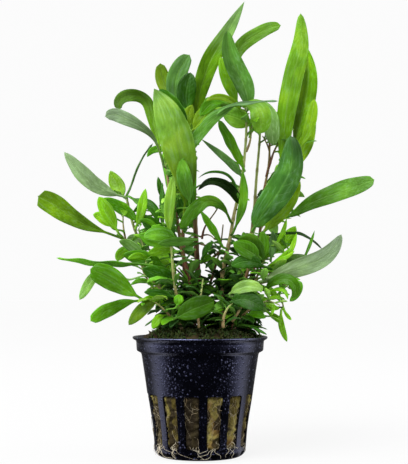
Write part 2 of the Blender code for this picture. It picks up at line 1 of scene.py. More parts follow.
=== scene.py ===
"""The finished look of a potted hygrophila: a slotted net pot, a rockwool plug with roots, stems and leaves.

Sizes in the tables are in millimetres, as in the part's source, and meshes are in metres. +Z is up, the
origin is the middle of the pot's foot, and the front of the plant looks along -Y.
"""

import logging
from dataclasses import dataclass, field, fields, replace
from enum import Enum

import bpy
import numpy as np
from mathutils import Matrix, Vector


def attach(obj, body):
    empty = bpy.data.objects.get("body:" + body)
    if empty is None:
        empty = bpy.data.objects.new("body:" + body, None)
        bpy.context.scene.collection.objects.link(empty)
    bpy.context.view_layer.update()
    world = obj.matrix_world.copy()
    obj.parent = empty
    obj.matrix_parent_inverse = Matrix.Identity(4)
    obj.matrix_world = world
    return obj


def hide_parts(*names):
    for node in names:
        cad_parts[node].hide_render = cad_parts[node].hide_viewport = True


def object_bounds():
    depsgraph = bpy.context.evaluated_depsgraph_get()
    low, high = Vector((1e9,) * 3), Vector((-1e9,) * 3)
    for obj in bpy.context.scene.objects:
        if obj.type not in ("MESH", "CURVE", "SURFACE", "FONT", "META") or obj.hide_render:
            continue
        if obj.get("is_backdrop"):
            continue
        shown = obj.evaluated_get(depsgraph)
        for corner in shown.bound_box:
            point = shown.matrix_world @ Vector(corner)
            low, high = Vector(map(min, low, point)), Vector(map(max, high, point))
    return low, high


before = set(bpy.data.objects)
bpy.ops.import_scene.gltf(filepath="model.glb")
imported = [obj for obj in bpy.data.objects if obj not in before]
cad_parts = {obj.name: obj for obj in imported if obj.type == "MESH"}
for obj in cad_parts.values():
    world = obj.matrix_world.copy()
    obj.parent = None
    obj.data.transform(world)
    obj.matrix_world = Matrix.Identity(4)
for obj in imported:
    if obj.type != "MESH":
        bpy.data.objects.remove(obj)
CAD_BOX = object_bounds()
LOG = logging.getLogger("potted_hygrophila")
MM = 0.001
EYE = np.array([1.6, -460.0, 67.0])
NEAR_EDGE_DROP = 3.5
Span = tuple[float, float]
Colour = tuple[float, float, float]
Socket = bpy.types.NodeSocket
Tree = bpy.types.NodeTree


class Tone(Enum):
    """The four leaf finishes, by the record's material slots: partly the leaves' own tones and partly painted light,
    with lime standing in for leaves lit through and dark for leaves in shade.
    """

    LIME = "leaf_lime"
    GREEN = "leaf_green"
    DARK = "leaf_dark"
    PALE = "leaf_pale"


class Wood(Enum):
    """The two stem finishes, by the record's material slots."""

    OLIVE = "stem_olive"
    RED = "stem_red_brown"


def numbers(text: str) -> tuple[float, ...]:
    """The numbers in a text, parted by commas or spaces."""
    return tuple(float(word) for word in text.replace(",", " ").split())


def places_in(text: str) -> tuple[tuple[float, ...], ...]:
    """The places in a text such as 1,2,3 4,5,6."""
    return tuple(numbers(word) for word in text.split())


def table(text: str) -> list[list[str]]:
    """The rows of a table, each cut at its bars; an indented line carries on the row before it."""
    rows = text.strip().replace("\n  ", " ").split("\n")
    return [[cell.strip() for cell in row.split("|")] for row in rows]


def placed(name: str, data: bpy.types.ID) -> bpy.types.Object:
    """A new object of the data, in the scene.

    Args:
        name: The object's name.
        data: Its mesh, camera or light.

    Returns:
        The object.
    """
    thing = bpy.data.objects.new(name, data)
    bpy.context.scene.collection.objects.link(thing)
    return thing


def seen(places: object) -> np.ndarray:
    """Real places of ones seen from the front: a ray from the eye through the plane y = 0, cut at a depth.

    Args:
        places: Rows of (across, up, back) in mm.

    Returns:
        Rows of (x, y, z) in mm.
    """
    across, up, back = np.asarray(places, float).T
    plane = np.stack([across, np.zeros_like(up), up - NEAR_EDGE_DROP], axis=1)
    return EYE + (plane - EYE) * ((back - EYE[1]) / -EYE[1])[:, None]


def smooth_path(places: object, count: int) -> np.ndarray:
    """Even places on a natural cubic through the given ones, over their chord lengths.

    Args:
        places: Rows of (x, y, z) in mm.
        count: How many places to return.

    Returns:
        The places, one row each.
    """
    places = np.asarray(places, float)
    steps = np.linalg.norm(np.diff(places, axis=0), axis=1)
    along = np.concatenate([[0.0], np.cumsum(steps)])
    size = len(places)
    system, right = np.eye(size), np.zeros((size, 3))
    inner = np.arange(1, size - 1)
    system[inner, inner - 1], system[inner, inner + 1] = steps[:-1], steps[1:]
    system[inner, inner] = 2 * (steps[:-1] + steps[1:])
    slope = np.diff(places, axis=0) / steps[:, None]
    right[1:-1] = 6 * np.diff(slope, axis=0)
    bends = np.linalg.solve(system, right)
    wanted = np.linspace(0.0, along[-1], count)
    i = np.clip(np.searchsorted(along, wanted) - 1, 0, size - 2)
    h = steps[i][:, None]
    a = (along[i + 1] - wanted)[:, None] / h
    b = 1 - a
    return (a * places[i] + b * places[i + 1]
            + ((a ** 3 - a) * bends[i] + (b ** 3 - b) * bends[i + 1]) * h ** 2 / 6)


def smoothstep(value: np.ndarray, low: float, high: float) -> np.ndarray:
    """0 below low, 1 above high, and the cubic 3t^2 - 2t^3 between."""
    t = np.clip((value - low) / (high - low), 0.0, 1.0)
    return t * t * (3 - 2 * t)


def unit(rows: np.ndarray) -> np.ndarray:
    """Each row at length one."""
    return rows / np.maximum(np.linalg.norm(rows, axis=-1, keepdims=True), 1e-9)


def tube_faces(rows: int, ring: int) -> tuple[np.ndarray, np.ndarray]:
    """Faces of a tube of closed rings with a pole vertex at each end, after the rings' own vertices.

    Args:
        rows: How many rings.
        ring: How many vertices are in a ring.

    Returns:
        The quads between rings, and the triangles of the two ends.
    """
    r, c = np.meshgrid(np.arange(rows - 1), np.arange(ring), indexing="ij")
    n = (c + 1) % ring
    quads = np.stack([r * ring + c, r * ring + n, (r + 1) * ring + n, (r + 1) * ring + c], axis=-1)
    k = np.arange(ring)
    near = np.stack([np.full(ring, rows * ring), (k + 1) % ring, k], axis=-1)
    last = (rows - 1) * ring
    far = np.stack([np.full(ring, rows * ring + 1), last + k, last + (k + 1) % ring], axis=-1)
    return quads.reshape(-1, 4), np.concatenate([near, far])


@dataclass
class Skin:
    """A mesh in the making: its vertices in mm, faces, and what each vertex carries for its material."""

    vertices: np.ndarray
    quads: np.ndarray
    triangles: np.ndarray
    places: np.ndarray = field(default_factory=lambda: np.zeros((0, 2)))
    dress: np.ndarray = field(default_factory=lambda: np.zeros((0, 4)))

    @staticmethod
    def merged(skins: list["Skin"]) -> "Skin":
        """All the skins as one, with each one's faces counted on from the vertices before it.

        Args:
            skins: The skins, in order.

        Returns:
            The one skin.
        """
        first = np.cumsum([0] + [len(skin.vertices) for skin in skins])
        parts = {}
        for part in fields(Skin):
            counted = part.name in ("quads", "triangles")
            parts[part.name] = np.concatenate([getattr(skin, part.name) + (more if counted else 0)
                                               for skin, more in zip(skins, first)])
        return Skin(**parts)

    def turned_out(self) -> "Skin":
        """The same skin with its faces' order turned round where the closed volume comes out negative.

        Returns:
            The skin.
        """
        corners = np.concatenate([self.quads[:, :3], self.quads[:, [0, 2, 3]], self.triangles])
        a, b, c = (self.vertices[corners[:, i]] for i in range(3))
        if np.einsum("ij,ij->", a, np.cross(b, c)) < 0:
            return replace(self, quads=self.quads[:, ::-1], triangles=self.triangles[:, ::-1])
        return self

    def piece(self, name: str, material: bpy.types.Material, slot: str, *nodes: str) -> bpy.types.Object:
        """Puts the skin into a mesh object that rides on the root body.

        Args:
            name: The piece's name.
            material: What it is made of.
            slot: The record's material slot; not used.
            nodes: The CAD nodes that it stands for, if any.

        Returns:
            The new object.
        """
        mesh = bpy.data.meshes.new(name)
        mesh.from_pydata((self.vertices * MM).tolist(), [], self.quads.tolist() + self.triangles.tolist())
        mesh.polygons.foreach_set("use_smooth", np.ones(len(mesh.polygons), bool))
        if len(self.places):
            corners = np.zeros(len(mesh.loops), int)
            mesh.loops.foreach_get("vertex_index", corners)
            mesh.uv_layers.new(name="grain").data.foreach_set("uv", self.places[corners].ravel())
        if len(self.dress):
            dress = mesh.attributes.new("dress", "FLOAT_COLOR", "POINT")
            dress.data.foreach_set("color", self.dress.ravel())
        mesh.materials.append(material)
        mesh.update()
        thing = placed(name, mesh)
        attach(thing, "root")
        if nodes:
            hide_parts(*nodes)
        LOG.info("%s: %d faces", name, len(mesh.polygons))
        return thing


def tube(path: np.ndarray, radius: np.ndarray, ring: int, dress: np.ndarray) -> Skin:
    """A closed round tube: each ring is centre + r cos(w) side + r sin(w) up, the sides kept from twisting.

    Args:
        path: The centre line, one row a ring, in mm.
        radius: Each ring's radius in mm.
        ring: How many sides.
        dress: One row a ring of what its vertices carry.

    Returns:
        The tube's skin.
    """
    ahead = unit(np.gradient(path, axis=0))
    spare = np.array([0.0, 1.0, 0.0]) if abs(ahead[:, 1]).mean() < 0.8 else np.array([1.0, 0.0, 0.0])
    side = unit(np.cross(spare, ahead))
    up = np.cross(ahead, side)
    turn = np.arange(ring) * 2 * np.pi / ring
    rings = (path[:, None] + radius[:, None, None] * (np.cos(turn)[None, :, None] * side[:, None]
                                                       + np.sin(turn)[None, :, None] * up[:, None]))
    rows = len(path)
    share = np.linspace(0, 1, rows)
    places = np.stack(np.broadcast_arrays(share[:, None], turn[None] / (2 * np.pi)), axis=-1).reshape(-1, 2)
    carried = np.repeat(dress, ring, axis=0)
    ends = np.stack([path[0] - 0.4 * radius[0] * ahead[0], path[-1] + 0.6 * radius[-1] * ahead[-1]])
    quads, triangles = tube_faces(rows, ring)
    return Skin(np.concatenate([rings.reshape(-1, 3), ends]), quads, triangles,
                np.concatenate([places, [[0, 0.5], [1, 0.5]]]),
                np.concatenate([carried, dress[[0, -1]]])).turned_out()


def strands(paths: np.ndarray, radii: np.ndarray, ring: int, dress: np.ndarray) -> Skin:
    """Many thin closed tubes at once: each ring is square to its path, centre + r cos(w) side + r sin(w) up.

    Args:
        paths: Centre lines, strand by place by (x, y, z), in mm.
        radii: The radius at each place.
        ring: How many sides each has.
        dress: What each strand's vertices carry, one row a strand.

    Returns:
        One skin of them all.
    """
    count, rows = paths.shape[:2]
    ahead = unit(np.gradient(paths, axis=1))
    side = unit(np.cross(np.roll(ahead, 1, axis=2) + 0.01, ahead))
    up = np.cross(ahead, side)
    turn = (np.arange(ring) * 2 * np.pi / ring)[:, None]
    rings = paths[:, :, None] + radii[:, :, None, None] * (
        np.cos(turn) * side[:, :, None] + np.sin(turn) * up[:, :, None])
    vertices = np.concatenate([rings.reshape(count, -1, 3), paths[:, :1], paths[:, -1:]], axis=1)
    quads, triangles = tube_faces(rows, ring)
    first = (np.arange(count) * vertices.shape[1])[:, None, None]
    carried = np.repeat(dress[:, None], vertices.shape[1], axis=1)
    return Skin(vertices.reshape(-1, 3), (quads[None] + first).reshape(-1, 4),
                (triangles[None] + first).reshape(-1, 3), np.zeros((count * vertices.shape[1], 2)),
                carried.reshape(-1, 4)).turned_out()


def ripples(places: np.ndarray, size: float, seed: int, waves: int = 14) -> np.ndarray:
    """A smooth random field, about -1 to 1: the mean of sines of waves in random directions, sqrt-scaled.

    Args:
        places: Rows of (x, y, z) in mm.
        size: The wave length in mm.
        seed: Picks the waves.
        waves: How many.

    Returns:
        A value a row.
    """
    dice = np.random.default_rng(seed)
    ways = unit(dice.normal(size=(waves, 3))) * (2 * np.pi / size) * dice.uniform(0.6, 1.6, (waves, 1))
    return np.sin(places @ ways.T + dice.uniform(0, 2 * np.pi, waves)).sum(axis=1) / np.sqrt(waves)


@dataclass(frozen=True)
class Look:
    """How one leaf departs from its finish: painted light and shade at foot and tip and on each half, yellowing, and
    grey as a painted sheen.

    Light is 0.5 where the leaf keeps its finish's colour; yellow and grey run from 0 to 1.
    """

    light: tuple[float, ...] = (0.58, 0.64)
    sides: tuple[float, ...] = (0.0, 0.0)
    yellow: tuple[float, ...] = (0.0, 0.0)
    grey: tuple[float, ...] = (0.0, 0.0)

    @staticmethod
    def read(text: str) -> "Look":
        """The look that words such as light=0.3,0.4 and grey=0.1,0.5 give."""
        return Look(**{name: numbers(pair) for name, pair in (word.split("=") for word in text.split())})

    def dress(self, along: np.ndarray, side: np.ndarray, under: np.ndarray) -> np.ndarray:
        """The colour attribute (painted light and shade, yellow, grey as painted sheen, under) of places on the
        leaf.

        Args:
            along: Share of the blade's length.
            side: -1 at one margin, 0 on the midrib, 1 at the other.
            under: 1 on the lower face.

        Returns:
            One row of four values a place.
        """
        ramp = smoothstep(along, 0.1, 0.95)
        light, yellow, grey = (foot + (tip - foot) * ramp
                               for foot, tip in (self.light, self.yellow, self.grey))
        # Painted light and shade: sides lightens one half of the blade and darkens the other.
        edge = smoothstep(side, -0.15, 0.15)
        light = np.clip(light + self.sides[0] * (1 - edge) + self.sides[1] * edge, 0.02, 1.0)
        return np.stack(np.broadcast_arrays(light, yellow, grey, under), axis=-1)


@dataclass(frozen=True)
class Leaf:
    """A leaf: its midrib from the stem to the tip as seen from the front, how wide and how turned it is, and
    its tone and look."""

    name: str
    midrib: tuple
    width: float
    face: Span
    widest: float
    point: float
    stalk: float
    fold: float
    tone: Tone
    look: Look

    @staticmethod
    def read(name: str, midrib: str, form: str, tone: str, look: str = "") -> "Leaf":
        """The leaf of a table's row; its form is width, turn at foot and tip, widest, point, stalk, fold.

        Args:
            name: The leaf's name after leaf_.
            midrib: The midrib's places.
            form: The seven numbers of its form.
            tone: The name of its tone.
            look: How it departs from its finish, if it does.

        Returns:
            The leaf.
        """
        width, foot, tip, *shape = numbers(form)
        return Leaf(f"leaf_{name}", places_in(midrib), width, (foot, tip), *shape, Tone[tone.upper()],
                    Look.read(look))


@dataclass
class Blade:
    """A leaf blade with a stalk, as one closed skin round its midrib.

    A section's place at side s (-1 to 1) is midrib + s h cos(fold) across + (|s| h sin(fold) + ripple) upper,
    where h is the half width. The upper face stands off it by half the blade's thickness less the groove over
    the midrib, and the lower face by half the thickness plus the rib. On the bare stalk it becomes round.
    """

    widest: float
    point: float
    stalk: float
    fold: float
    width: float
    ring: int = 22
    margin: float = 0.16
    body: float = 0.26
    rib: float = 0.34
    rib_breadth: float = 0.42
    groove: float = 0.16
    stalk_radius: float = 0.5
    ripple: float = 0.35
    phase: float = 0.0

    def half_width(self, along: np.ndarray) -> np.ndarray:
        """Half the width at a share of the length: a bare stalk, then a lens (t/m)^m ((1-t)/(1-m))^(1-m).

        Args:
            along: The share of the leaf's length.

        Returns:
            Half the width in mm.
        """
        t = np.clip((along - self.stalk) / (1 - self.stalk), 1e-6, 1 - 1e-6)
        full = (t / self.widest) ** self.widest * ((1 - t) / (1 - self.widest)) ** (1 - self.widest)
        least = np.where(along > 0.5, 0.16, self.stalk_radius) * np.clip((1 - along) * 12, 0.3, 1)
        return np.maximum(self.width / 2 * full ** self.point, least)

    def skin(self, midrib: np.ndarray, across: np.ndarray, upper: np.ndarray, along: np.ndarray,
             look: Look) -> Skin:
        """The closed skin of the blade.

        Args:
            midrib: The midrib's places in mm, one row a ring.
            across: The direction across the blade at each.
            upper: The direction that the upper face looks along.
            along: The share of the leaf's length at each; below 0 on the stretch that joins the stem.
            look: What the leaf's surface carries.

        Returns:
            The skin, with places of (share of length, share across).
        """
        half = self.half_width(np.clip(along, 0, 1))[:, None]
        turn = (np.arange(self.ring) + 0.5) * 2 * np.pi / self.ring
        side, top = np.cos(turn)[None], np.sin(turn)[None] > 0
        bow = np.sqrt(np.clip(1 - side ** 2, 0, 1))
        leafy = smoothstep(half, self.stalk_radius * 1.1, self.stalk_radius * 2.6)
        fold = np.radians(self.fold)
        soft = np.sqrt(side ** 2 + 0.02) - np.sqrt(0.02)
        wave = np.sin(2 * np.pi * (along[:, None] * 3.1 + self.phase) + (side > 0) * 1.9)
        wave = wave * np.sqrt(half / 4) * self.ripple * side ** 4 * leafy
        lift = leafy * (soft * half * np.sin(fold) - 0.10 * half * side ** 4) + wave
        rib = np.exp(-(side * half / self.rib_breadth) ** 2) * leafy
        taper = np.clip(1.15 - np.clip(along, 0, 1), 0.12, 1)[:, None]
        blade = self.margin * 0.5 + self.body * 0.5 * bow
        stalk = np.minimum(half, self.stalk_radius) * bow
        over = stalk * (1 - leafy) + (blade - self.groove * rib * taper) * leafy
        below = stalk * (1 - leafy) + (blade + self.rib * rib * taper * 1.5) * leafy
        lift = lift + np.where(top, over, -below)
        out = side * half * (1 - leafy + leafy * np.cos(fold))
        rings = midrib[:, None] + out[..., None] * across[:, None] + lift[..., None] * upper[:, None]
        share = np.clip(along, 0, 1)
        under = np.broadcast_to(np.where(top, 0.0, 1.0), out.shape)
        dress = look.dress(share[:, None] + 0 * side, side + 0 * half, under)
        places = np.stack(np.broadcast_arrays(share[:, None], side * 0.5 + 0.5), axis=-1)
        ends = np.stack([midrib[0], midrib[-1] + (midrib[-1] - midrib[-2]) * 0.35])
        quads, triangles = tube_faces(len(midrib), self.ring)
        return Skin(np.concatenate([rings.reshape(-1, 3), ends]), quads, triangles,
                    np.concatenate([places.reshape(-1, 2), [[0, 0.5], [1, 0.5]]]),
                    np.concatenate([dress.reshape(-1, 4), dress[[0, -1], 0]])).turned_out()


@dataclass(frozen=True)
class Sprout:
    """A young leaf on a stem.

    Attributes:
        share: The share of the stem's length that it leaves at.
        azimuth: Its direction from above in degrees, 0 to the right and 90 to the back.
        rise: Its rise over level at its foot, in degrees.
        length: Its length in mm.
        width: Its width in mm.
        droop: How far it bends over.
        roll: How far its blade is turned about its midrib, in degrees.
    """

    share: float
    azimuth: float
    rise: float
    length: float
    width: float
    droop: float = 0.4
    roll: float = 0.0

    def frame(self, foot: np.ndarray, count: int) -> tuple[np.ndarray, np.ndarray, np.ndarray]:
        """Its midrib, and the directions across it and of its upper face: up = L (t sin(rise) - d t^2).

        Args:
            foot: Where it leaves the stem, in mm.
            count: How many places.

        Returns:
            Three arrays with a row a place.
        """
        t = np.linspace(0, 1, count)
        way, lift, turn = np.radians(self.azimuth), np.radians(self.rise), np.radians(self.roll)
        out, up = self.length * t * np.cos(lift), self.length * (t * np.sin(lift) - self.droop * t ** 2)
        midrib = foot + np.stack([out * np.cos(way), out * np.sin(way), up], axis=1)
        ahead = unit(np.gradient(midrib, axis=0))
        level = np.tile([np.sin(way), -np.cos(way), 0.0], (count, 1))
        across = np.cos(turn) * level + np.sin(turn) * np.cross(level, ahead)
        return midrib, across, np.cross(across, ahead)

    def skin(self, foot: np.ndarray, look: Look, fine: bool = True) -> Skin:
        """Its skin from its foot in mm, with a coarser mesh if it isn't fine.

        Args:
            foot: Where it leaves the stem, in mm.
            look: What its surface carries.
            fine: Whether it has the finer mesh.

        Returns:
            The skin.
        """
        rows, ring = (20, 16) if fine else (11, 10)
        blade = Blade(0.50, 1.6, 0.14, 12.0, self.width * 1.06, stalk_radius=0.35, ripple=0.25,
                      phase=self.azimuth / 50, ring=ring, margin=0.12, body=0.2, rib=0.2)
        return blade.skin(*self.frame(foot, rows), np.linspace(0, 1, rows), look)


class Net:
    """A node tree being filled, with short ways to add what the materials share."""

    def __init__(self, tree: Tree) -> None:
        """Starts on an empty tree."""
        self.tree = tree
        tree.nodes.clear()

    @staticmethod
    def material(name: str) -> tuple[bpy.types.Material, "Net"]:
        """A new material, and a Net on its nodes.

        Args:
            name: The material's name.

        Returns:
            The material and its net.
        """
        material = bpy.data.materials.new(name)
        material.use_nodes = True
        return material, Net(material.node_tree)

    def feed(self, node: bpy.types.Node, inputs: dict[object, object]) -> None:
        """Gives inputs, by name or number, another node's output or a value; a colour gets its alpha of 1.

        Args:
            node: The node.
            inputs: A socket or a value for each input.
        """
        for name, value in inputs.items():
            socket = node.inputs[name]
            if isinstance(value, Socket):
                self.tree.links.new(value, socket)
            else:
                socket.default_value = (*value, 1.0) if socket.type == "RGBA" else value

    def add(self, kind: str, inputs: dict | None = None, **settings: object) -> bpy.types.Node:
        """Adds a node.

        Args:
            kind: The node's type, less its ShaderNode.
            inputs: What its inputs are fed.
            settings: Its own properties.

        Returns:
            The node.
        """
        node = self.tree.nodes.new(f"ShaderNode{kind}")
        for name, value in settings.items():
            setattr(node, name, value)
        self.feed(node, inputs or {})
        return node

    def math(self, operation: str, *values: object) -> Socket:
        """The output of a Math node on the values."""
        return self.add("Math", dict(enumerate(values)), operation=operation).outputs[0]

    def product(self, *values: object) -> Socket:
        """The first value times the second, plus the third if there is one."""
        return self.math("MULTIPLY" if len(values) < 3 else "MULTIPLY_ADD", *values)

    def vector(self, operation: str, *values: object) -> bpy.types.bpy_prop_collection:
        """The outputs (vector, value) of a Vector Math node on the values."""
        return self.add("VectorMath", dict(enumerate(values)), operation=operation).outputs

    def split(self, value: Socket) -> bpy.types.bpy_prop_collection:
        """The three parts of a colour or a vector."""
        return self.add("SeparateColor" if value.type == "RGBA" else "SeparateXYZ", {0: value}).outputs

    def mix(self, factor: object, first: object, second: object, blend: str = "MIX") -> Socket:
        """The colour output of a Mix node."""
        return self.add("Mix", {0: factor, 6: first, 7: second}, data_type="RGBA",
                        blend_type=blend).outputs[2]

    def step(self, value: object, low: float, high: float, to_low: float = 0.0,
             to_high: float = 1.0) -> Socket:
        """The value smoothly mapped from low..high to the two ends given."""
        return self.add("MapRange", {0: value, 1: low, 2: high, 3: to_low, 4: to_high},
                        interpolation_type="SMOOTHSTEP").outputs[0]

    def noise(self, vector: object, scale: object, detail: float = 2.0, rough: float = 0.5,
              out: int = 0) -> Socket:
        """A noise texture's value, about 0.5 on the whole, or its colour if out is 1."""
        return self.add("TexNoise", {"Vector": vector, "Scale": scale, "Detail": detail,
                                     "Roughness": rough}).outputs[out]

    def cells(self, vector: Socket, scale: float, feature: str = "F1") -> bpy.types.bpy_prop_collection:
        """The outputs of a Voronoi texture."""
        return self.add("TexVoronoi", {"Vector": vector, "Scale": scale}, feature=feature).outputs

    def long(self, vector: Socket, upward: float) -> Socket:
        """The vector with its upward part scaled, so that a texture on it is drawn out along Z."""
        return self.add("Mapping", {"Vector": vector, "Scale": (1.0, 1.0, upward)}).outputs[0]

    def place(self) -> Socket:
        """The place on the object."""
        return self.add("TexCoord").outputs["Object"]

    def grain(self, grain: Tree, place: Socket, coarse: float, fine: float, base: float, spread: float
              ) -> bpy.types.bpy_prop_collection:
        """The outputs Height, Roughness and Patches of the surface grain group at its sizes and roughness."""
        return self.add("Group", {"Place": place, "Coarse": coarse, "Fine": fine, "Base": base,
                                  "Spread": spread}, node_tree=grain).outputs

    def bump(self, strength: float, distance: float, height: Socket) -> Socket:
        """The normal that a height gives, with the distance in metres."""
        return self.add("Bump", {"Strength": strength, "Distance": distance, "Height": height}).outputs[0]

    def surface(self, colour: Socket, rough: Socket, normal: Socket, specular: float,
                **more: object) -> Socket:
        """The output of a Principled node."""
        return self.add("BsdfPrincipled", {"Base Color": colour, "Roughness": rough, "Normal": normal,
                                           "Specular IOR Level": specular} | more).outputs[0]

    def show(self, shader: Socket) -> None:
        """Makes a shader the material's surface."""
        self.add("OutputMaterial", {0: shader})


def group(name: str, inputs: dict[str, tuple[str, ...]], outputs: dict[str, tuple[str, ...]]
          ) -> tuple[Net, bpy.types.bpy_prop_collection, bpy.types.Node]:
    """A new shader node group with named sockets.

    Args:
        name: The group's name.
        inputs: The names of its inputs, by kind (Float, Color or Vector).
        outputs: The names of its outputs, by kind.

    Returns:
        A Net on its tree, the sockets that carry its inputs, and its output node.
    """
    tree = bpy.data.node_groups.new(name, "ShaderNodeTree")
    for way, kinds in (("INPUT", inputs), ("OUTPUT", outputs)):
        for kind, labels in kinds.items():
            for label in labels:
                tree.interface.new_socket(label, in_out=way, socket_type=f"NodeSocket{kind}")
    net = Net(tree)
    return net, tree.nodes.new("NodeGroupInput").outputs, tree.nodes.new("NodeGroupOutput")


def leaf_colour_group() -> Tree:
    """The leaf's colours: upper or lower face, then yellowing, grey as a painted sheen, mottling and veins, times
    its painted light and shade.

    Returns:
        The group.
    """
    net, port, out = group("leaf_colour", {"Color": ("Upper", "Under", "Yellow", "Grey", "Rib", "Dress"),
                                           "Float": ("Under Mask", "Vein Mask"),
                                           "Vector": ("Place", "Grain")}, {"Color": ("Color",)})
    dress, grain = net.split(port["Dress"]), net.split(port["Grain"])
    wide, fine, drift = (net.noise(port["Place"], scale, detail)
                         for scale, detail in ((95.0, 2.0), (1500.0, 2.0), (40.0, 0.0)))
    lines = net.add("CombineXYZ", {0: net.product(grain[0], 1.3), 1: net.product(grain[1], 9.0),
                                   2: net.product(drift, 22.0)}).outputs[0]
    streak = net.noise(lines, 1.0)
    yellow = net.math("MINIMUM", net.math("ADD", dress[1], net.step(wide, 0.5, 0.75, 0.0, 0.42)), 1.0)
    # Painted sheen: the grey colour mixed in, more of it in random streaks.
    painted_sheen = net.math("MINIMUM", net.math("ADD", dress[2], net.step(streak, 0.5, 0.72, 0.0, 0.36)), 1.0)
    rib = net.math("MAXIMUM", port["Vein Mask"], net.step(grain[0], 0.0, 0.09, 0.75, 0.0))
    colour = port["Upper"]
    for mask, tint in ((port["Under Mask"], "Under"), (yellow, "Yellow"), (painted_sheen, "Grey"), (rib, "Rib")):
        colour = net.mix(mask, colour, port[tint])
    # Painted light and shade: the dress's light scales the colour, with random mottling on top.
    light = net.product(dress[0], 2.0)
    for value, *ends in ((wide, 0.25, 0.75, 0.70, 1.28), (streak, 0.3, 0.7, 0.84, 1.14),
                         (fine, 0.3, 0.7, 0.95, 1.05)):
        light = net.product(light, net.step(value, *ends))
    level = net.add("CombineColor", {0: light, 1: light, 2: light}).outputs[0]
    net.feed(out, {"Color": net.mix(1.0, colour, level, "MULTIPLY")})
    return net.tree


def vein_group(pairs: float = 9.0) -> Tree:
    """Veins from a leaf's own places: a midrib where |across| is near 0, pairs of side veins where the share
    of the length less a curve of |across| comes round again, and a net of cells between them.

    Args:
        pairs: How many pairs of side veins a leaf has.

    Returns:
        The group.
    """
    net, port, out = group("leaf_veins", {"Vector": ("Grain", "Place")},
                           {"Float": ("Midrib", "Side", "Height")})
    along, across, _ = net.split(port["Grain"])
    across = net.math("ABSOLUTE", net.product(across, 2.0, -1.0))
    midrib = net.step(across, 0.02, 0.10, 1.0, 0.0)
    phase = net.product(along, pairs, net.product(net.math("POWER", across, 1.35), -1.7))
    phase = net.product(net.noise(port["Place"], 160.0, 1.0), 0.5, phase)
    wave = net.math("COSINE", net.product(phase, 6.2832))
    side = net.product(net.step(wave, 0.82, 1.0), net.step(across, 0.55, 0.98, 1.0, 0.0))
    mesh = net.step(net.cells(port["Place"], 1100.0, "DISTANCE_TO_EDGE")[0], 0.0, 0.12, 1.0, 0.0)
    height = net.product(midrib, -1.0)
    for value, depth in ((side, -0.55), (mesh, -0.10), (wave, -0.12)):
        height = net.product(value, depth, height)
    net.feed(out, {"Midrib": midrib, "Side": side, "Height": height})
    return net.tree


def grain_group() -> Tree:
    """Fine surface grain from noise at two sizes, as a height and a roughness that vary with it.

    Returns:
        The group.
    """
    net, port, out = group("surface_grain", {"Vector": ("Place",),
                                             "Float": ("Coarse", "Fine", "Base", "Spread")},
                           {"Float": ("Height", "Roughness", "Patches")})
    coarse = net.noise(port["Place"], port["Coarse"], 3.0)
    height = net.product(net.noise(port["Place"], port["Fine"]), 0.4, coarse)
    rough = net.product(net.math("SUBTRACT", coarse, 0.5), port["Spread"], port["Base"])
    net.feed(out, {"Height": height, "Roughness": rough, "Patches": coarse})
    return net.tree


@dataclass(frozen=True)
class LeafFinish:
    """A waxy leaf surface that lets some light through, in one of the four tones."""

    tone: Tone
    upper: Colour
    under: Colour
    yellow: Colour
    # A pale colour that the leaf colour group mixes in as a painted sheen.
    grey: Colour
    rib: Colour
    through: Colour
    gloss: float = 0.36
    clear: float = 0.32

    def material(self, colours: Tree, veins: Tree, grain: Tree) -> bpy.types.Material:
        """The finish as a material: a waxy surface mixed with light that comes through the blade.

        Args:
            colours: The leaf colour group.
            veins: The vein group.
            grain: The surface grain group.

        Returns:
            The material.
        """
        material, net = Net.material(self.tone.value)
        place = net.place()
        uv = net.add("UVMap", uv_map="grain").outputs[0]
        dress = net.add("Attribute", attribute_name="dress").outputs
        vein = net.add("Group", {"Grain": uv, "Place": place}, node_tree=veins).outputs
        fine = net.grain(grain, place, 420.0, 2600.0, self.gloss, 0.22)
        rib = net.product(vein["Side"], 0.12, net.product(vein["Midrib"], 0.42))
        colour = net.add("Group", {"Upper": self.upper, "Under": self.under, "Yellow": self.yellow,
                                   "Grey": self.grey, "Rib": self.rib, "Dress": dress["Color"],
                                   "Under Mask": dress["Alpha"], "Vein Mask": rib, "Place": place,
                                   "Grain": uv},
                         node_tree=colours).outputs[0]
        bump = net.bump(0.35, 0.00025, net.product(fine["Height"], 0.18, vein["Height"]))
        wax = net.surface(colour, fine["Roughness"], bump, 0.15)
        glow = net.add("BsdfTranslucent", {"Color": net.mix(1.0, colour, self.through, "MULTIPLY"),
                                           "Normal": bump}).outputs[0]
        net.show(net.add("MixShader", {0: self.clear, 1: wax, 2: glow}).outputs[0])
        return material


@dataclass(frozen=True)
class StemFinish:
    """A stem's skin: one colour at its foot, greener to its top, with long fine streaks."""

    wood: Wood
    foot: Colour
    top: Colour
    streak: Colour
    node: Colour = (0.075, 0.035, 0.012)

    def material(self, grain: Tree) -> bpy.types.Material:
        """The finish as a material; the dress runs from foot to top, and its second value marks nodes.

        Args:
            grain: The surface grain group.

        Returns:
            The material.
        """
        material, net = Net.material(self.wood.value)
        place = net.place()
        dress = net.split(net.add("Attribute", attribute_name="dress").outputs["Color"])
        long = net.long(place, 0.12)
        ramp = net.product(net.math("SUBTRACT", net.noise(place, 160.0), 0.5), 0.7, dress[0])
        colour = net.mix(net.step(ramp, 0.2, 0.85), self.foot, self.top)
        colour = net.mix(net.step(net.noise(long, 1400.0), 0.52, 0.72, 0.0, 0.55), colour, self.streak)
        colour = net.mix(net.product(dress[1], 0.5), colour, self.node)
        fine = net.grain(grain, long, 900.0, 3000.0, 0.45, 0.2)
        net.show(net.surface(colour, fine["Roughness"], net.bump(0.3, 0.0002, fine["Height"]), 0.4))
        return material


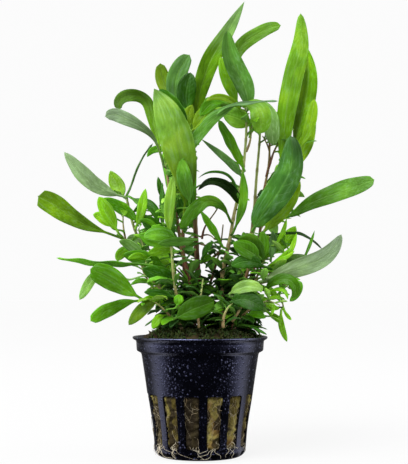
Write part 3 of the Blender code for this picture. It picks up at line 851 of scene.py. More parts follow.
@dataclass(frozen=True)
class PotFinish:
    """Moulded black plastic, slightly wet: fine beads of moisture as bumps, with a cool sheen and painted glints,
    pale spots of colour on a few beads.
    """

    base: Colour = (0.0005, 0.0005, 0.0010)
    film: Colour = (0.0014, 0.0014, 0.0030)
    # A pale colour painted on a few beads as glints.
    painted_glint: Colour = (0.045, 0.050, 0.075)
    sheen: Colour = (0.50, 0.54, 1.0)
    gloss: float = 0.19

    def material(self, grain: Tree) -> bpy.types.Material:
        """The finish as a material.

        Args:
            grain: The surface grain group.

        Returns:
            The material.
        """
        material, net = Net.material("pot_plastic")
        place = net.place()
        fine = net.grain(grain, place, 90.0, 1800.0, self.gloss, 0.3)
        beads = net.cells(place, 700.0)
        chance = net.split(beads["Color"])
        drop = net.product(net.step(beads["Distance"], 0.12, 0.36, 1.0, 0.0),
                           net.math("GREATER_THAN", chance[0], 0.40))
        # Painted glints: a few beads get a pale spot in their colour where light would catch them.
        painted_glint = net.product(net.step(beads["Distance"], 0.06, 0.20, 0.8, 0.0),
                            net.math("GREATER_THAN", chance[1], 0.87))
        speck = net.step(net.cells(place, 1300.0)["Distance"], 0.1, 0.4, 1.0, 0.0)
        colour = net.mix(net.step(fine["Patches"], 0.35, 0.75), self.base, self.film)
        colour = net.mix(painted_glint, colour, self.painted_glint)
        height = net.product(speck, 0.3, net.product(fine["Height"], 0.12, drop))
        rough = net.product(drop, 0.36, net.product(speck, 0.12, fine["Roughness"]))
        net.show(net.surface(colour, rough, net.bump(0.8, 0.00016, height), 0.8,
                             **{"Specular Tint": self.sheen}))
        return material


@dataclass(frozen=True)
class WoolFinish:
    """Wet rockwool grown through with algae: cream and olive fibres, brown and rusty patches.

    It has painted shade at the pot's bars and round one spot on the front, and darkens over its top, partly algae
    and partly painted shade; slots is the bars' count and first turn.
    """

    pale: Colour = (0.26, 0.22, 0.060)
    olive: Colour = (0.060, 0.045, 0.005)
    brown: Colour = (0.012, 0.007, 0.001)
    rust: Colour = (0.12, 0.040, 0.008)
    slots: Span = (14.0, -9.2)
    shade_spot: tuple[float, float, float] = (-0.0035, -0.0200, 0.0150)
    squash: float = 0.3

    def material(self, grain: Tree) -> bpy.types.Material:
        """The finish as a material.

        Args:
            grain: The surface grain group.

        Returns:
            The material.
        """
        material, net = Net.material("rockwool")
        place = net.place()
        bent = net.vector("MULTIPLY_ADD", net.noise(place, 130.0, out=1), (0.012, 0.012, 0.012), place)[0]
        long = net.long(bent, 0.22)
        fibres = net.noise(long, 1700.0, 4.0, 0.6)
        # Painted shade round one spot on the front slots, and a darker top, partly algae and partly painted shade.
        centre = (self.shade_spot[0], self.shade_spot[1], self.shade_spot[2] * self.squash)
        far = net.vector("DISTANCE", net.long(place, self.squash), centre)[1]
        dark = net.math("MAXIMUM", net.step(far, 0.0042, 0.0072, 0.93, 0.0),
                        net.step(net.split(place)[2], 0.042, 0.047, 0.0, 0.9))
        # Painted shade at the pot's bars: the colour darkens towards each slot's sides.
        x, y, _ = net.split(bent)
        turn = net.math("SUBTRACT", net.math("ARCTAN2", x, net.product(y, -1.0)), np.radians(self.slots[1]))
        wave = net.math("COSINE", net.product(turn, self.slots[0]))
        colour = net.mix(net.step(net.noise(long, 120.0), 0.49, 0.67), self.olive, self.pale)
        # The fibres and rust are the wool's own colour; the last two masks are painted shade.
        for mask, tint in ((net.step(fibres, 0.32, 0.56, 0.7, 0.0), self.brown),
                           (net.step(net.noise(place, 75.0), 0.58, 0.70, 0.0, 0.6), self.rust),
                           (dark, self.brown), (net.step(wave, -0.35, 0.30, 0.88, 0.0), self.brown)):
            colour = net.mix(mask, colour, tint)
        fine = net.grain(grain, long, 700.0, 3500.0, 0.72, 0.35)
        bump = net.bump(0.8, 0.0006, net.product(fibres, 1.2, fine["Height"]))
        net.show(net.surface(colour, fine["Roughness"], bump, 0.2))
        return material


@dataclass(frozen=True)
class ThreadFinish:
    """Fine threads and scales, whose dress runs from dark to light and adds a warm tint."""

    name: str
    dark: Colour
    light: Colour
    warm: Colour
    gloss: float

    def material(self, grain: Tree) -> bpy.types.Material:
        """The finish as a material.

        Args:
            grain: The surface grain group.

        Returns:
            The material.
        """
        material, net = Net.material(self.name)
        dress = net.split(net.add("Attribute", attribute_name="dress").outputs["Color"])
        fine = net.grain(grain, net.place(), 260.0, 2400.0, self.gloss, 0.3)
        shade = net.product(net.math("SUBTRACT", fine["Patches"], 0.5), 0.8, dress[0])
        shade = net.math("MINIMUM", net.math("MAXIMUM", shade, 0.0), 1.0)
        colour = net.mix(net.product(dress[1], 0.5), net.mix(shade, self.dark, self.light), self.warm)
        net.show(net.surface(colour, fine["Roughness"], net.bump(0.4, 0.0002, fine["Height"]), 0.2))
        return material


@dataclass
class NetPot:
    """The net pot: one closed wall of revolution with slots and foot windows left open between two skins."""

    rim_radius: float = 27.4
    collar_radius: float = 25.9
    rim_height: float = 48.0
    slot_count: int = 14
    slot_first: float = -9.2
    slot_foot: float = 4.4
    slot_top: float = 25.3
    slot_widths: Span = (5.3, 6.5)
    slot_corner: float = 0.9
    window_foot: float = 1.0
    window_top: float = 2.8
    window_width: float = 3.6
    wall: float = 1.2
    foot_base: float = 15.3
    foot_corner: float = 3.2
    edge: float = 0.16
    wall_heights: tuple = (3.2, 7.0, 11.0, 16.0, 22.7, 32.0, 40.7)
    wall_radii: tuple = (18.45, 18.75, 19.1, 19.85, 21.0, 22.35, 23.7)

    def wall_radius(self, height: np.ndarray) -> np.ndarray:
        """The wall's outer radius at a height."""
        return np.interp(height, self.wall_heights, self.wall_radii)

    def lip_rows(self) -> np.ndarray:
        """The lip, the collar and the step below, in rows of (outer radius, height, inner radius, height).

        Returns:
            The rows, from the top down.
        """
        rim, top, collar = self.rim_radius, self.rim_height, self.collar_radius
        return np.array([
            (rim - 0.45, top, rim - 0.85, top - 0.05), (rim - 0.15, top - 0.12, rim - 1.3, top - 0.4),
            (rim, top - 0.45, rim - 1.7, top - 0.75), (rim - 0.1, top - 0.85, rim - 2.0, top - 1.0),
            (rim - 0.5, top - 1.2, rim - 2.3, top - 1.3),
            (collar + 0.3, top - 1.55, collar - 1.05, top - 1.7),
            (collar + 0.02, top - 2.0, collar - 1.2, top - 2.1), (collar - 0.05, 45.2, collar - 1.25, 45.0),
            (collar - 0.2, 42.8, collar - 1.5, 43.0), (collar - 0.4, 42.25, collar - 1.7, 42.5),
            (24.95, 41.9, 23.75, 42.05), (24.2, 41.55, 23.15, 41.5), (23.78, 41.0, 22.7, 40.9)])

    def opening(self, foot: float, top: float, widths: Span, corner: float
                ) -> tuple[np.ndarray, np.ndarray]:
        """Heights from top to foot down a slot with rounded corners, and half the slot's width at each.

        The corner follows a quarter circle: height = end - r (1 - sin t), half width = w/2 - r + r cos t.

        Args:
            foot: The height of its foot.
            top: The height of its top.
            widths: Its widths at foot and top.
            corner: Its corners' radius.

        Returns:
            The heights and the half widths.
        """
        turn = np.radians([90.0, 60.0, 30.0, 0.0])
        rise, inset = corner * (1 - np.sin(turn)), corner * (1 - np.cos(turn))
        middle = np.linspace(top - corner, foot + corner, max(2, int((top - foot) / 2.2)) + 1)[1:-1]
        heights = np.concatenate([top - rise, middle, (foot + rise)[::-1]])
        width = np.interp(heights, [foot, top], widths) / 2
        width[:4] -= inset
        width[-4:] -= inset[::-1]
        return heights, width

    def rows(self) -> tuple[np.ndarray, np.ndarray, np.ndarray]:
        """All rows from the lip down to the middle of the base.

        Returns:
            Rows of (outer radius, height, inner radius, height), half the opening's width at each row, and
            whether the band below each row is cut open.
        """
        slot, slot_half = self.opening(self.slot_foot, self.slot_top, self.slot_widths, self.slot_corner)
        plain = np.array([40.3, 38.6, 36.3, 34.0, 31.5, 29.2, 27.4, 26.2])
        heights = np.concatenate([plain, slot, [3.8, 3.2]])
        outer = self.wall_radius(heights)
        wall = np.stack([outer, heights, outer - self.wall, heights], axis=1)
        window, window_half = self.opening(self.window_foot, self.window_top, (self.window_width,) * 2, 0.5)
        bend = np.arcsin(1 - np.concatenate([window, [0.6, 0.28, 0.08, 0.0]]) / self.foot_corner)
        inner = self.foot_corner - self.wall
        base = self.foot_base
        foot = np.stack([base + self.foot_corner * np.cos(bend), self.foot_corner * (1 - np.sin(bend)),
                         base + inner * np.cos(bend), self.wall + inner * (1 - np.sin(bend))], axis=1)
        floor = np.array([(14.7, 0.0, 14.7, 1.2), (14.1, 0.3, 14.1, 1.2), (9.0, 0.3, 9.0, 1.2),
                          (2.6, 0.3, 2.6, 1.2), (2.2, 0.05, 2.2, 1.2)])
        lip = self.lip_rows()
        rows = np.concatenate([lip, wall, foot, floor])
        lead = len(lip) + len(plain)
        half = np.concatenate([np.full(lead, slot_half[0]), slot_half, [2.0, 1.7], window_half,
                               np.full(4 + len(floor), window_half[-1])])
        cut = np.zeros(len(rows), bool)
        cut[lead:lead + len(slot) - 1] = True
        start = len(lip) + len(wall)
        cut[start:start + len(window) - 1] = True
        return rows, half, cut

    def skin(self) -> Skin:
        """Both skins of the wall on one grid of rows and columns, with a side face wherever an open cell
        meets a kept one.

        Returns:
            The closed skin.
        """
        rows, half, cut = self.rows()
        pitch = 2 * np.pi / self.slot_count
        edge = np.arcsin(np.clip(half / np.maximum(rows[:, 0], 4.0), 0, 0.9))[:, None]
        edge = np.minimum(edge, pitch * 0.34)
        slots = edge * np.array([-1.0, -0.5, 0.0, 0.5])
        ribs = edge + (pitch - 2 * edge) * np.array([0.0, 0.25, 0.5, 0.75])
        local = np.concatenate([slots, ribs], axis=1)
        turn = np.arange(self.slot_count)[None, :, None] * pitch + local[:, None]
        turn = (np.radians(self.slot_first) + turn).reshape(len(rows), -1)
        count, columns = turn.shape
        outer, inner = (np.stack([radius * np.sin(turn), -radius * np.cos(turn),
                                  np.broadcast_to(height, turn.shape)], axis=-1)
                        for radius, height in ((rows[:, :1], rows[:, 1:2]), (rows[:, 2:3], rows[:, 3:])))
        number = np.arange(count * columns).reshape(count, columns)
        open_cell = cut[:-1, None] & (np.arange(columns) % 8 < 4)[None]
        right = np.roll(number, -1, axis=1)
        cells = np.stack([number[:-1], number[1:], right[1:], right[:-1]], axis=-1)
        kept = cells[~open_cell]
        more = count * columns
        top = np.stack([number[0], right[0], right[0] + more, number[0] + more], axis=-1)
        quads = [kept, kept[:, ::-1] + more, top]
        closed = np.zeros((1, columns), bool)
        for beside, first, second, order in (
                (np.roll(open_cell, 1, axis=1), number[:-1], number[1:], -1),
                (np.roll(open_cell, -1, axis=1), right[:-1], right[1:], 1),
                (np.concatenate([closed, open_cell[:-1]]), number[:-1], right[:-1], 1),
                (np.concatenate([open_cell[1:], closed]), number[1:], right[1:], -1)):
            edge_cells = open_cell & ~beside
            a, b = first[edge_cells], second[edge_cells]
            quads.append(np.stack([a, b, b + more, a + more], axis=-1)[:, ::order])
        poles = np.array([[0, 0, 0.05], [0, 0, self.wall]])
        k = np.arange(columns)
        last = (count - 1) * columns
        fan = np.stack([last + k, np.full(columns, 2 * more), last + (k + 1) % columns], axis=-1)
        inside = np.stack([last + more + (k + 1) % columns, np.full(columns, 2 * more + 1),
                           last + more + k], axis=-1)
        vertices = np.concatenate([outer.reshape(-1, 3), inner.reshape(-1, 3), poles])
        return Skin(vertices, np.concatenate(quads), np.concatenate([fan, inside])).turned_out()

    def build(self, finish: PotFinish, grain: Tree) -> bpy.types.Object:
        """Builds the pot and rounds its edges a little.

        Args:
            finish: The plastic.
            grain: The surface grain group.

        Returns:
            The pot.
        """
        pot = self.skin().piece("net_pot_moulded", finish.material(grain), "pot_plastic", "net_pot")
        soften = pot.modifiers.new("edges", "BEVEL")
        soften.width, soften.segments, soften.harden_normals = self.edge * MM, 2, True
        soften.limit_method, soften.angle_limit = "ANGLE", np.radians(38)
        return pot


@dataclass
class RockwoolPlug:
    """The rockwool plug: a lumpy body that fills the pot, loose fibres, roots and a mossy crown."""

    pot: NetPot
    gap: float = 0.3
    crown: tuple = ((0.0, 51.4), (9.0, 51.1), (16.0, 50.3), (21.0, 49.0), (22.9, 47.2))
    rows: int = 144
    columns: int = 400
    lumps: float = 0.5
    bulge: float = 1.0
    mean_radius: float = 19.0
    thread_heights: Span = (1.9, 44.0)
    front_slots: tuple = (12, 13) * 8 + (1, 2) * 4
    tuft_reach: float = 24.6
    tuft_foot: float = 47.0

    def radius_at(self, height: np.ndarray) -> np.ndarray:
        """The plug's radius at a height inside the pot."""
        body = self.pot.wall_radius(height) - self.pot.wall - self.gap
        return body - 2.2 * smoothstep(-height, -4.6, -1.6)

    def profile(self) -> np.ndarray:
        """Even rows of (radius, height) down the crown, the side and the underside.

        Returns:
            The rows.
        """
        side = np.linspace(45.0, 2.0, 30)
        radius = np.minimum(self.radius_at(side), self.crown[-1][0])
        corners = np.concatenate([self.crown, np.stack([radius, side], axis=1), [(0.4, 1.9)]])
        return smooth_path(np.insert(corners, 1, 0.0, axis=1), self.rows)[:, [0, 2]]

    def surface(self, turn: np.ndarray, height: np.ndarray, stand: np.ndarray) -> np.ndarray:
        """Places on the side at an angle from the front and a height, standing off it by some mm."""
        radius = self.radius_at(height) + stand
        return np.stack([radius * np.sin(turn), -radius * np.cos(turn), height], axis=-1)

    def in_slot(self, places: np.ndarray) -> np.ndarray:
        """How far inside a slot's outline places on the side are: 0 up to 0.1 mm in, 1 from 0.55 mm in.

        Args:
            places: Rows of (x, y, z) in mm.

        Returns:
            A value from 0 to 1 for each.
        """
        pot = self.pot
        turn = np.arctan2(places[:, 0], -places[:, 1]) - np.radians(pot.slot_first)
        pitch = 2 * np.pi / pot.slot_count
        off = (np.abs((turn + pitch / 2) % pitch - pitch / 2)) * np.hypot(places[:, 0], places[:, 1])
        half = np.interp(places[:, 2], [pot.slot_foot, pot.slot_top], pot.slot_widths) / 2
        inset = np.minimum(half - off, np.minimum(places[:, 2] - pot.slot_foot, pot.slot_top - places[:, 2]))
        return smoothstep(inset, 0.1, 0.55)

    def body(self, material: bpy.types.Material) -> bpy.types.Object:
        """The plug's body: the profile turned about Z, moved out by ripples and further inside each slot.

        Args:
            material: The rockwool.

        Returns:
            The plug's body.
        """
        line = self.profile()
        turn = np.arange(self.columns) * 2 * np.pi / self.columns
        grid = np.stack([line[:, :1] * np.sin(turn), -line[:, :1] * np.cos(turn),
                         np.broadcast_to(line[:, 1:], (len(line), self.columns))], axis=-1)
        flat = grid.reshape(-1, 3)
        out = unit(flat - np.array([0, 0, 24.0]))
        move = self.lumps * (0.6 * ripples(flat, 7.0, 3) + 0.4 * ripples(flat, 2.2, 4) - 0.5)
        flat = flat + np.clip(move, -1.2, 0.35)[:, None] * out
        swell = self.bulge + 0.28 * ripples(flat, 2.6, 9) + 0.14 * ripples(flat, 1.1, 10)
        flat = flat + np.clip(self.in_slot(flat) * swell, 0, 1.5)[:, None] * unit(flat * [1, 1, 0])
        quads, triangles = tube_faces(len(line), self.columns)
        ends = np.array([[0, 0, line[0, 1]], [0, 0, line[-1, 1]]])
        skin = Skin(np.concatenate([flat, ends]), quads, triangles).turned_out()
        return skin.piece("rockwool_body", material, "rockwool", "rockwool_plug")

    def threads(self, count: int, length: Span, thick: Span, heights: Span, stand: Span, upright: float,
                seed: int, places: int, light: Span) -> Skin:
        """Threads that wander over the side: each starts at random and turns as it goes.

        Args:
            count: How many.
            length: Shortest and longest.
            thick: Thinnest and thickest.
            heights: Between which heights they start.
            stand: How far off the surface they lie.
            upright: 1 where they run down, 0 where they run any way.
            seed: Picks them.
            places: How many places along each.
            light: Darkest and lightest, as the dress carries it.

        Returns:
            Their skin.
        """
        dice = np.random.default_rng(seed)
        heading = dice.normal(0, 1 - upright, count) * np.pi / 2 - np.pi / 2
        bend = dice.normal(0, 1.1, (count, 1)) * np.linspace(0, 1, places) + heading[:, None]
        wobble = np.cumsum(dice.normal(0, 0.28, (count, places)), axis=1)
        step = dice.uniform(*length, (count, 1)) / (places - 1)
        around = np.cumsum(np.cos(bend + wobble) * step, axis=1) / self.mean_radius
        turn = dice.uniform(0, 2 * np.pi, (count, 1)) + around
        height = dice.uniform(*heights, (count, 1)) + np.cumsum(np.sin(bend + wobble) * step, axis=1)
        height = np.clip(height, *self.thread_heights)
        off = dice.uniform(*stand, (count, 1))
        off = off + 0.18 * np.sin(np.linspace(0, 7, places) + dice.uniform(0, 6, (count, 1)))
        base = self.surface(turn, height, 0 * turn)
        off = np.minimum(off, 0.5) + 1.15 * self.in_slot(base.reshape(-1, 3)).reshape(turn.shape)
        radius = dice.uniform(*thick, (count, 1)) / 2 * np.linspace(1.0, 0.45, places)
        shade = dice.uniform(*light, count)
        dress = np.stack([shade, dice.uniform(0, 1, count), np.zeros(count), np.zeros(count)], axis=1)
        return strands(self.surface(turn, height, off), radius, 4, dress)

    def hanging(self, seed: int = 31, count: int = 40) -> Skin:
        """Roots that leave a slot's foot and hang over the ring below it: out over the ledge, down and aside.

        Each runs from inside the slot's foot over s = 0..1, with turn = t0 + a s^1.5 and a small ripple, and
        height = z0 - L s. Below the slot it stands off the wall by 0.12 + w sin(pi s).

        Args:
            seed: Picks them.
            count: How many; the first ones leave the slots nearest the front.

        Returns:
            Their skin.
        """
        pot, dice, share = self.pot, np.random.default_rng(seed), np.linspace(0, 1, 12)
        slot = dice.integers(0, pot.slot_count, count)
        slot[:len(self.front_slots)] = self.front_slots
        middle = pot.slot_first + slot * 360 / pot.slot_count
        start = np.radians(middle + dice.uniform(-6.5, 6.5, count))[:, None]
        turn = start + dice.normal(0, 0.26, (count, 1)) * share ** 1.5
        turn = turn + 0.03 * np.sin(9 * share + 2 * slot[:, None])
        top, length = dice.uniform(4.6, 8.0, (count, 1)), dice.uniform(1.2, 6.0, (count, 1))
        height = np.maximum(top - length * share, 0.9)
        below = np.clip(pot.foot_corner - height, 0, None)
        bend = np.sqrt(np.clip(pot.foot_corner ** 2 - below ** 2, 0, None))
        wall = np.where(height < pot.foot_corner, pot.foot_base + bend, pot.wall_radius(height))
        off = 0.12 + dice.uniform(0.1, 0.6, (count, 1)) * np.sin(np.pi * share)
        inside = smoothstep(height, pot.slot_foot - 0.1, pot.slot_foot + 1.4)
        radius = wall + off - inside * 1.1
        paths = np.stack([radius * np.sin(turn), -radius * np.cos(turn), height], axis=-1)
        shade = dice.uniform(0.55, 1.0, count)
        dress = np.stack([shade, dice.uniform(0, 0.6, count), 0 * shade, 0 * shade], axis=1)
        return strands(paths, dice.uniform(0.06, 0.12, (count, 1)) * np.linspace(1, 0.5, 12), 5, dress)

    def build(self, wool: bpy.types.Material, root: bpy.types.Material, moss: bpy.types.Material) -> None:
        """Builds the body, its fibres, the roots and the moss.

        Args:
            wool: The rockwool.
            root: The pale roots.
            moss: The moss and scale leaves on the crown.
        """
        self.body(wool)
        fibres = self.threads(420, length=(3, 8), thick=(0.07, 0.13), heights=(2, 43), stand=(-0.05, 0.2),
                              upright=0.6, seed=11, places=7, light=(0.15, 0.55))
        fibres.piece("rockwool_fibres", root, "rockwool")
        roots = self.threads(44, length=(6, 17), thick=(0.09, 0.18), heights=(6, 24), stand=(0.0, 0.3),
                             upright=0.5, seed=12, places=16, light=(0.1, 0.5))
        low = self.threads(22, length=(4, 11), thick=(0.07, 0.15), heights=(3, 7), stand=(0.1, 0.4),
                           upright=0.1, seed=13, places=14, light=(0.4, 0.9))
        Skin.merged([roots, low, self.hanging()]).piece("roots", root, "rockwool")
        self.crown_tuft(moss)

    def crown_tuft(self, material: bpy.types.Material, count: int = 2600) -> bpy.types.Object:
        """The moss on the crown: small pointed scales that stand up and lean out, few faces each.

        Args:
            material: The moss.
            count: How many scales.

        Returns:
            The moss as one piece.
        """
        dice = np.random.default_rng(21)
        reach = self.tuft_reach * np.sqrt(dice.uniform(0, 1, count))
        turn = dice.uniform(0, 2 * np.pi, count)
        crown = np.array(self.crown)
        foot = np.stack([reach * np.sin(turn), -reach * np.cos(turn),
                         np.interp(reach, crown[:, 0], crown[:, 1]) - 0.6], axis=1)
        foot[:, 2] = np.maximum(foot[:, 2], self.tuft_foot)
        foot = foot[foot[:, 0] > -18.6 + 1.2 * ripples(foot, 9.0, 6)]
        count = len(foot)
        turn = np.arctan2(foot[:, 0], -foot[:, 1])
        lean = np.stack([np.sin(turn), -np.cos(turn), np.zeros(count)], axis=1)
        lean = lean * dice.uniform(-0.3, 0.9, (count, 1))
        way = unit(lean + dice.normal(0, 0.45, (count, 3)) + [0, 0, 1.1])
        way[:, 2] = np.abs(way[:, 2])
        length = dice.uniform(1.3, 3.6, (count, 1)) * (0.85 + 0.3 * ripples(foot, 12.0, 8))[:, None]
        t = np.linspace(0, 1, 6)[:, None]
        droop = np.array([0, 0, -0.5]) * length[:, None] * 0.5
        paths = foot[:, None] + way[:, None] * length[:, None] * t + droop * t ** 2
        width = dice.uniform(0.22, 0.55, (count, 1)) * np.array([0.4, 0.9, 1.0, 0.85, 0.5, 0.08])
        dress = np.stack([dice.uniform(0.2, 0.75, count), dice.uniform(0, 1, count) ** 2, np.zeros(count),
                          np.zeros(count)], axis=1)
        return strands(paths, width, 4, dress).piece("crown_moss", material, "leaf_dark")


@dataclass
class Stem:
    """A stem: the places that it passes as seen from the front, its thickness at foot and top, its finish and
    the young leaves that grow from it. A rooted one stands in the plug; the others are twigs."""

    name: str
    route: tuple
    thick: tuple[float, ...]
    wood: Wood
    sprouts: tuple[Sprout, ...] = ()
    rooted: bool = True
    ring: int = 14
    internode: float = 11.0
    crown: tuple = ((0.0, 51.6), (9.0, 51.3), (18.0, 50.4), (22.0, 49.2))
    end_gap: float = 0.7
    root_depth: float = 2.4
    slimming: float = 0.26
    node_length: float = 0.75
    node_swell: float = 0.22

    @staticmethod
    def read(name: str, route: str, thick: str, wood: str, sprouts: str = "") -> "Stem":
        """The stem of a table's row; each sprout is its share, azimuth, rise, length and width."""
        return Stem(name, places_in(route), numbers(thick), Wood[wood.upper()],
                    tuple(Sprout(*row) for row in places_in(sprouts)), rooted=name.startswith("stem"))

    def centre(self, count: int = 0) -> np.ndarray:
        """The centre line in mm, from the plug's crown up; a place every 0.8 mm unless a count is given.

        Args:
            count: How many places, or 0.

        Returns:
            The places, one row each.
        """
        route = seen(self.route)
        crown = np.array(self.crown)
        if self.rooted:
            route[0, 2] = np.interp(np.hypot(*route[0, :2]), crown[:, 0], crown[:, 1]) + self.end_gap
        length = np.linalg.norm(np.diff(route, axis=0), axis=1).sum()
        coarse = smooth_path(route, max(5, round(length / 10)))
        return smooth_path(coarse, count or int(length / 0.8))

    def build(self, finishes: dict[Wood, bpy.types.Material]) -> bpy.types.Object:
        """Builds the stem: a round tube that thickens at each node and runs down into the crown.

        Args:
            finishes: The material of each wood.

        Returns:
            The stem.
        """
        path = self.centre()
        if self.rooted:
            foot = path[0] + np.array([0, 0, -self.root_depth])
            path = np.concatenate([np.linspace(foot, path[0], 5)[:-1], path])
        along = np.concatenate([[0.0], np.cumsum(np.linalg.norm(np.diff(path, axis=0), axis=1))])
        share = along / along[-1]
        radius = np.interp(share, [0, 1], self.thick) / 2 * (1 - self.slimming * share)
        away = np.abs((along + 3.0) % self.internode - self.internode / 2)
        node = np.exp(-(away / self.node_length) ** 2)
        radius = radius * (1 + self.node_swell * node) * (1 + 0.04 * np.sin(along * 1.7))
        dress = np.stack([share, np.clip(node, 0, 1), 0 * share, 0 * share], axis=1)
        bark = tube(path, radius, self.ring, dress)
        return bark.piece(f"{self.name}_bark", finishes[self.wood], self.wood.value,
                                                          *([self.name] if self.rooted else []))


@dataclass
class FrontView:
    """What the laid-out leaves hide from the eye, on a grid of half millimetres, and where they all lie.

    A place shows at eye + (place - eye) * distance / depth, in the plane of the pot's axis.
    """

    low: Span = (-80.0, 0.0)
    size: tuple[int, int] = (320, 400)
    cell: float = 0.5
    thickets: tuple = (
        ((-29.5, 91.0), (-20.5, 97.2), (-1.6, 98.4), (2.1, 66.4), (2.1, 53.3), (-20.5, 54.1), (-14.4, 61.5),
         (-20.5, 69.7), (-29.5, 82.0)),
        ((2.1, 91.0), (25.4, 94.3), (34.9, 92.7), (41.0, 82.0), (41.0, 72.6), (27.9, 54.1), (2.1, 53.3)),
        ((-2.1, 148.4), (30.8, 147.2), (28.7, 136.9), (9.0, 136.9), (-1.6, 132.0)))
    hidden: np.ndarray = field(init=False)
    dense: np.ndarray = field(init=False)
    taken: list[np.ndarray] = field(default_factory=list)

    def __post_init__(self) -> None:
        """Starts with nothing hidden, and with the thickets' outlines filled by the even-odd rule."""
        self.hidden = np.zeros(self.size, bool)
        x = self.low[0] + self.cell * (np.arange(self.size[0]) + 0.5)[:, None]
        y = self.low[1] + self.cell * (np.arange(self.size[1]) + 0.5)[None]
        self.dense = np.zeros(self.size, bool)
        for outline in self.thickets:
            for (x0, y0), (x1, y1) in zip(outline, outline[1:] + outline[:1]):
                if y0 != y1:
                    crossed = ((y0 > y + NEAR_EDGE_DROP) != (y1 > y + NEAR_EDGE_DROP))
                    self.dense ^= crossed & (x < x0 + (x1 - x0) * (y + NEAR_EDGE_DROP - y0) / (y1 - y0))

    def cells(self, places: np.ndarray) -> tuple[np.ndarray, np.ndarray]:
        """The grid cells that places show in.

        Args:
            places: Rows of (x, y, z) in mm.

        Returns:
            The column and the row of each.
        """
        plane = EYE + (places - EYE) * (-EYE[1] / (places[..., 1:2] - EYE[1]))
        across = ((plane[..., 0] - self.low[0]) / self.cell).astype(int)
        up = ((plane[..., 2] - self.low[1]) / self.cell).astype(int)
        return np.clip(across, 0, self.size[0] - 1), np.clip(up, 0, self.size[1] - 1)

    def cover(self, left: np.ndarray, right: np.ndarray) -> None:
        """Marks what lies between two rows of margin places as hidden, and remembers where it is.

        Args:
            left: The places of one margin in mm.
            right: Those of the other margin.
        """
        share = np.linspace(0, 1, 40)[None, :, None]
        fine = np.linspace(0, len(left) - 1, 160)
        rows = np.arange(len(left))
        lefts, rights = (np.stack([np.interp(fine, rows, side[:, i]) for i in range(3)], axis=1)
                         for side in (left, right))
        sheet = lefts[:, None] * (1 - share) + rights[:, None] * share
        self.hidden[self.cells(sheet)] = True
        self.taken.append(sheet[::10, ::8].reshape(-1, 3))

    def share_hidden(self, places: np.ndarray, in_thickets: bool = False) -> float:
        """The share of the places that the laid-out leaves hide, or that show inside a thicket's outline.

        Args:
            places: Rows of (x, y, z) in mm.
            in_thickets: Whether a thicket's outline counts too.

        Returns:
            The share, from 0 to 1.
        """
        cells = self.cells(places)
        allowed = self.hidden[cells] | self.dense[cells] if in_thickets else self.hidden[cells]
        return float(allowed.mean())

    def clearance(self, places: np.ndarray) -> float:
        """How many mm the places stay from what is there already.

        Args:
            places: Rows of (x, y, z) in mm.

        Returns:
            The smallest distance in mm.
        """
        there = np.concatenate(self.taken)
        gaps = np.linalg.norm(places[:, None] - there[None], axis=-1)
        return float(gaps.min())


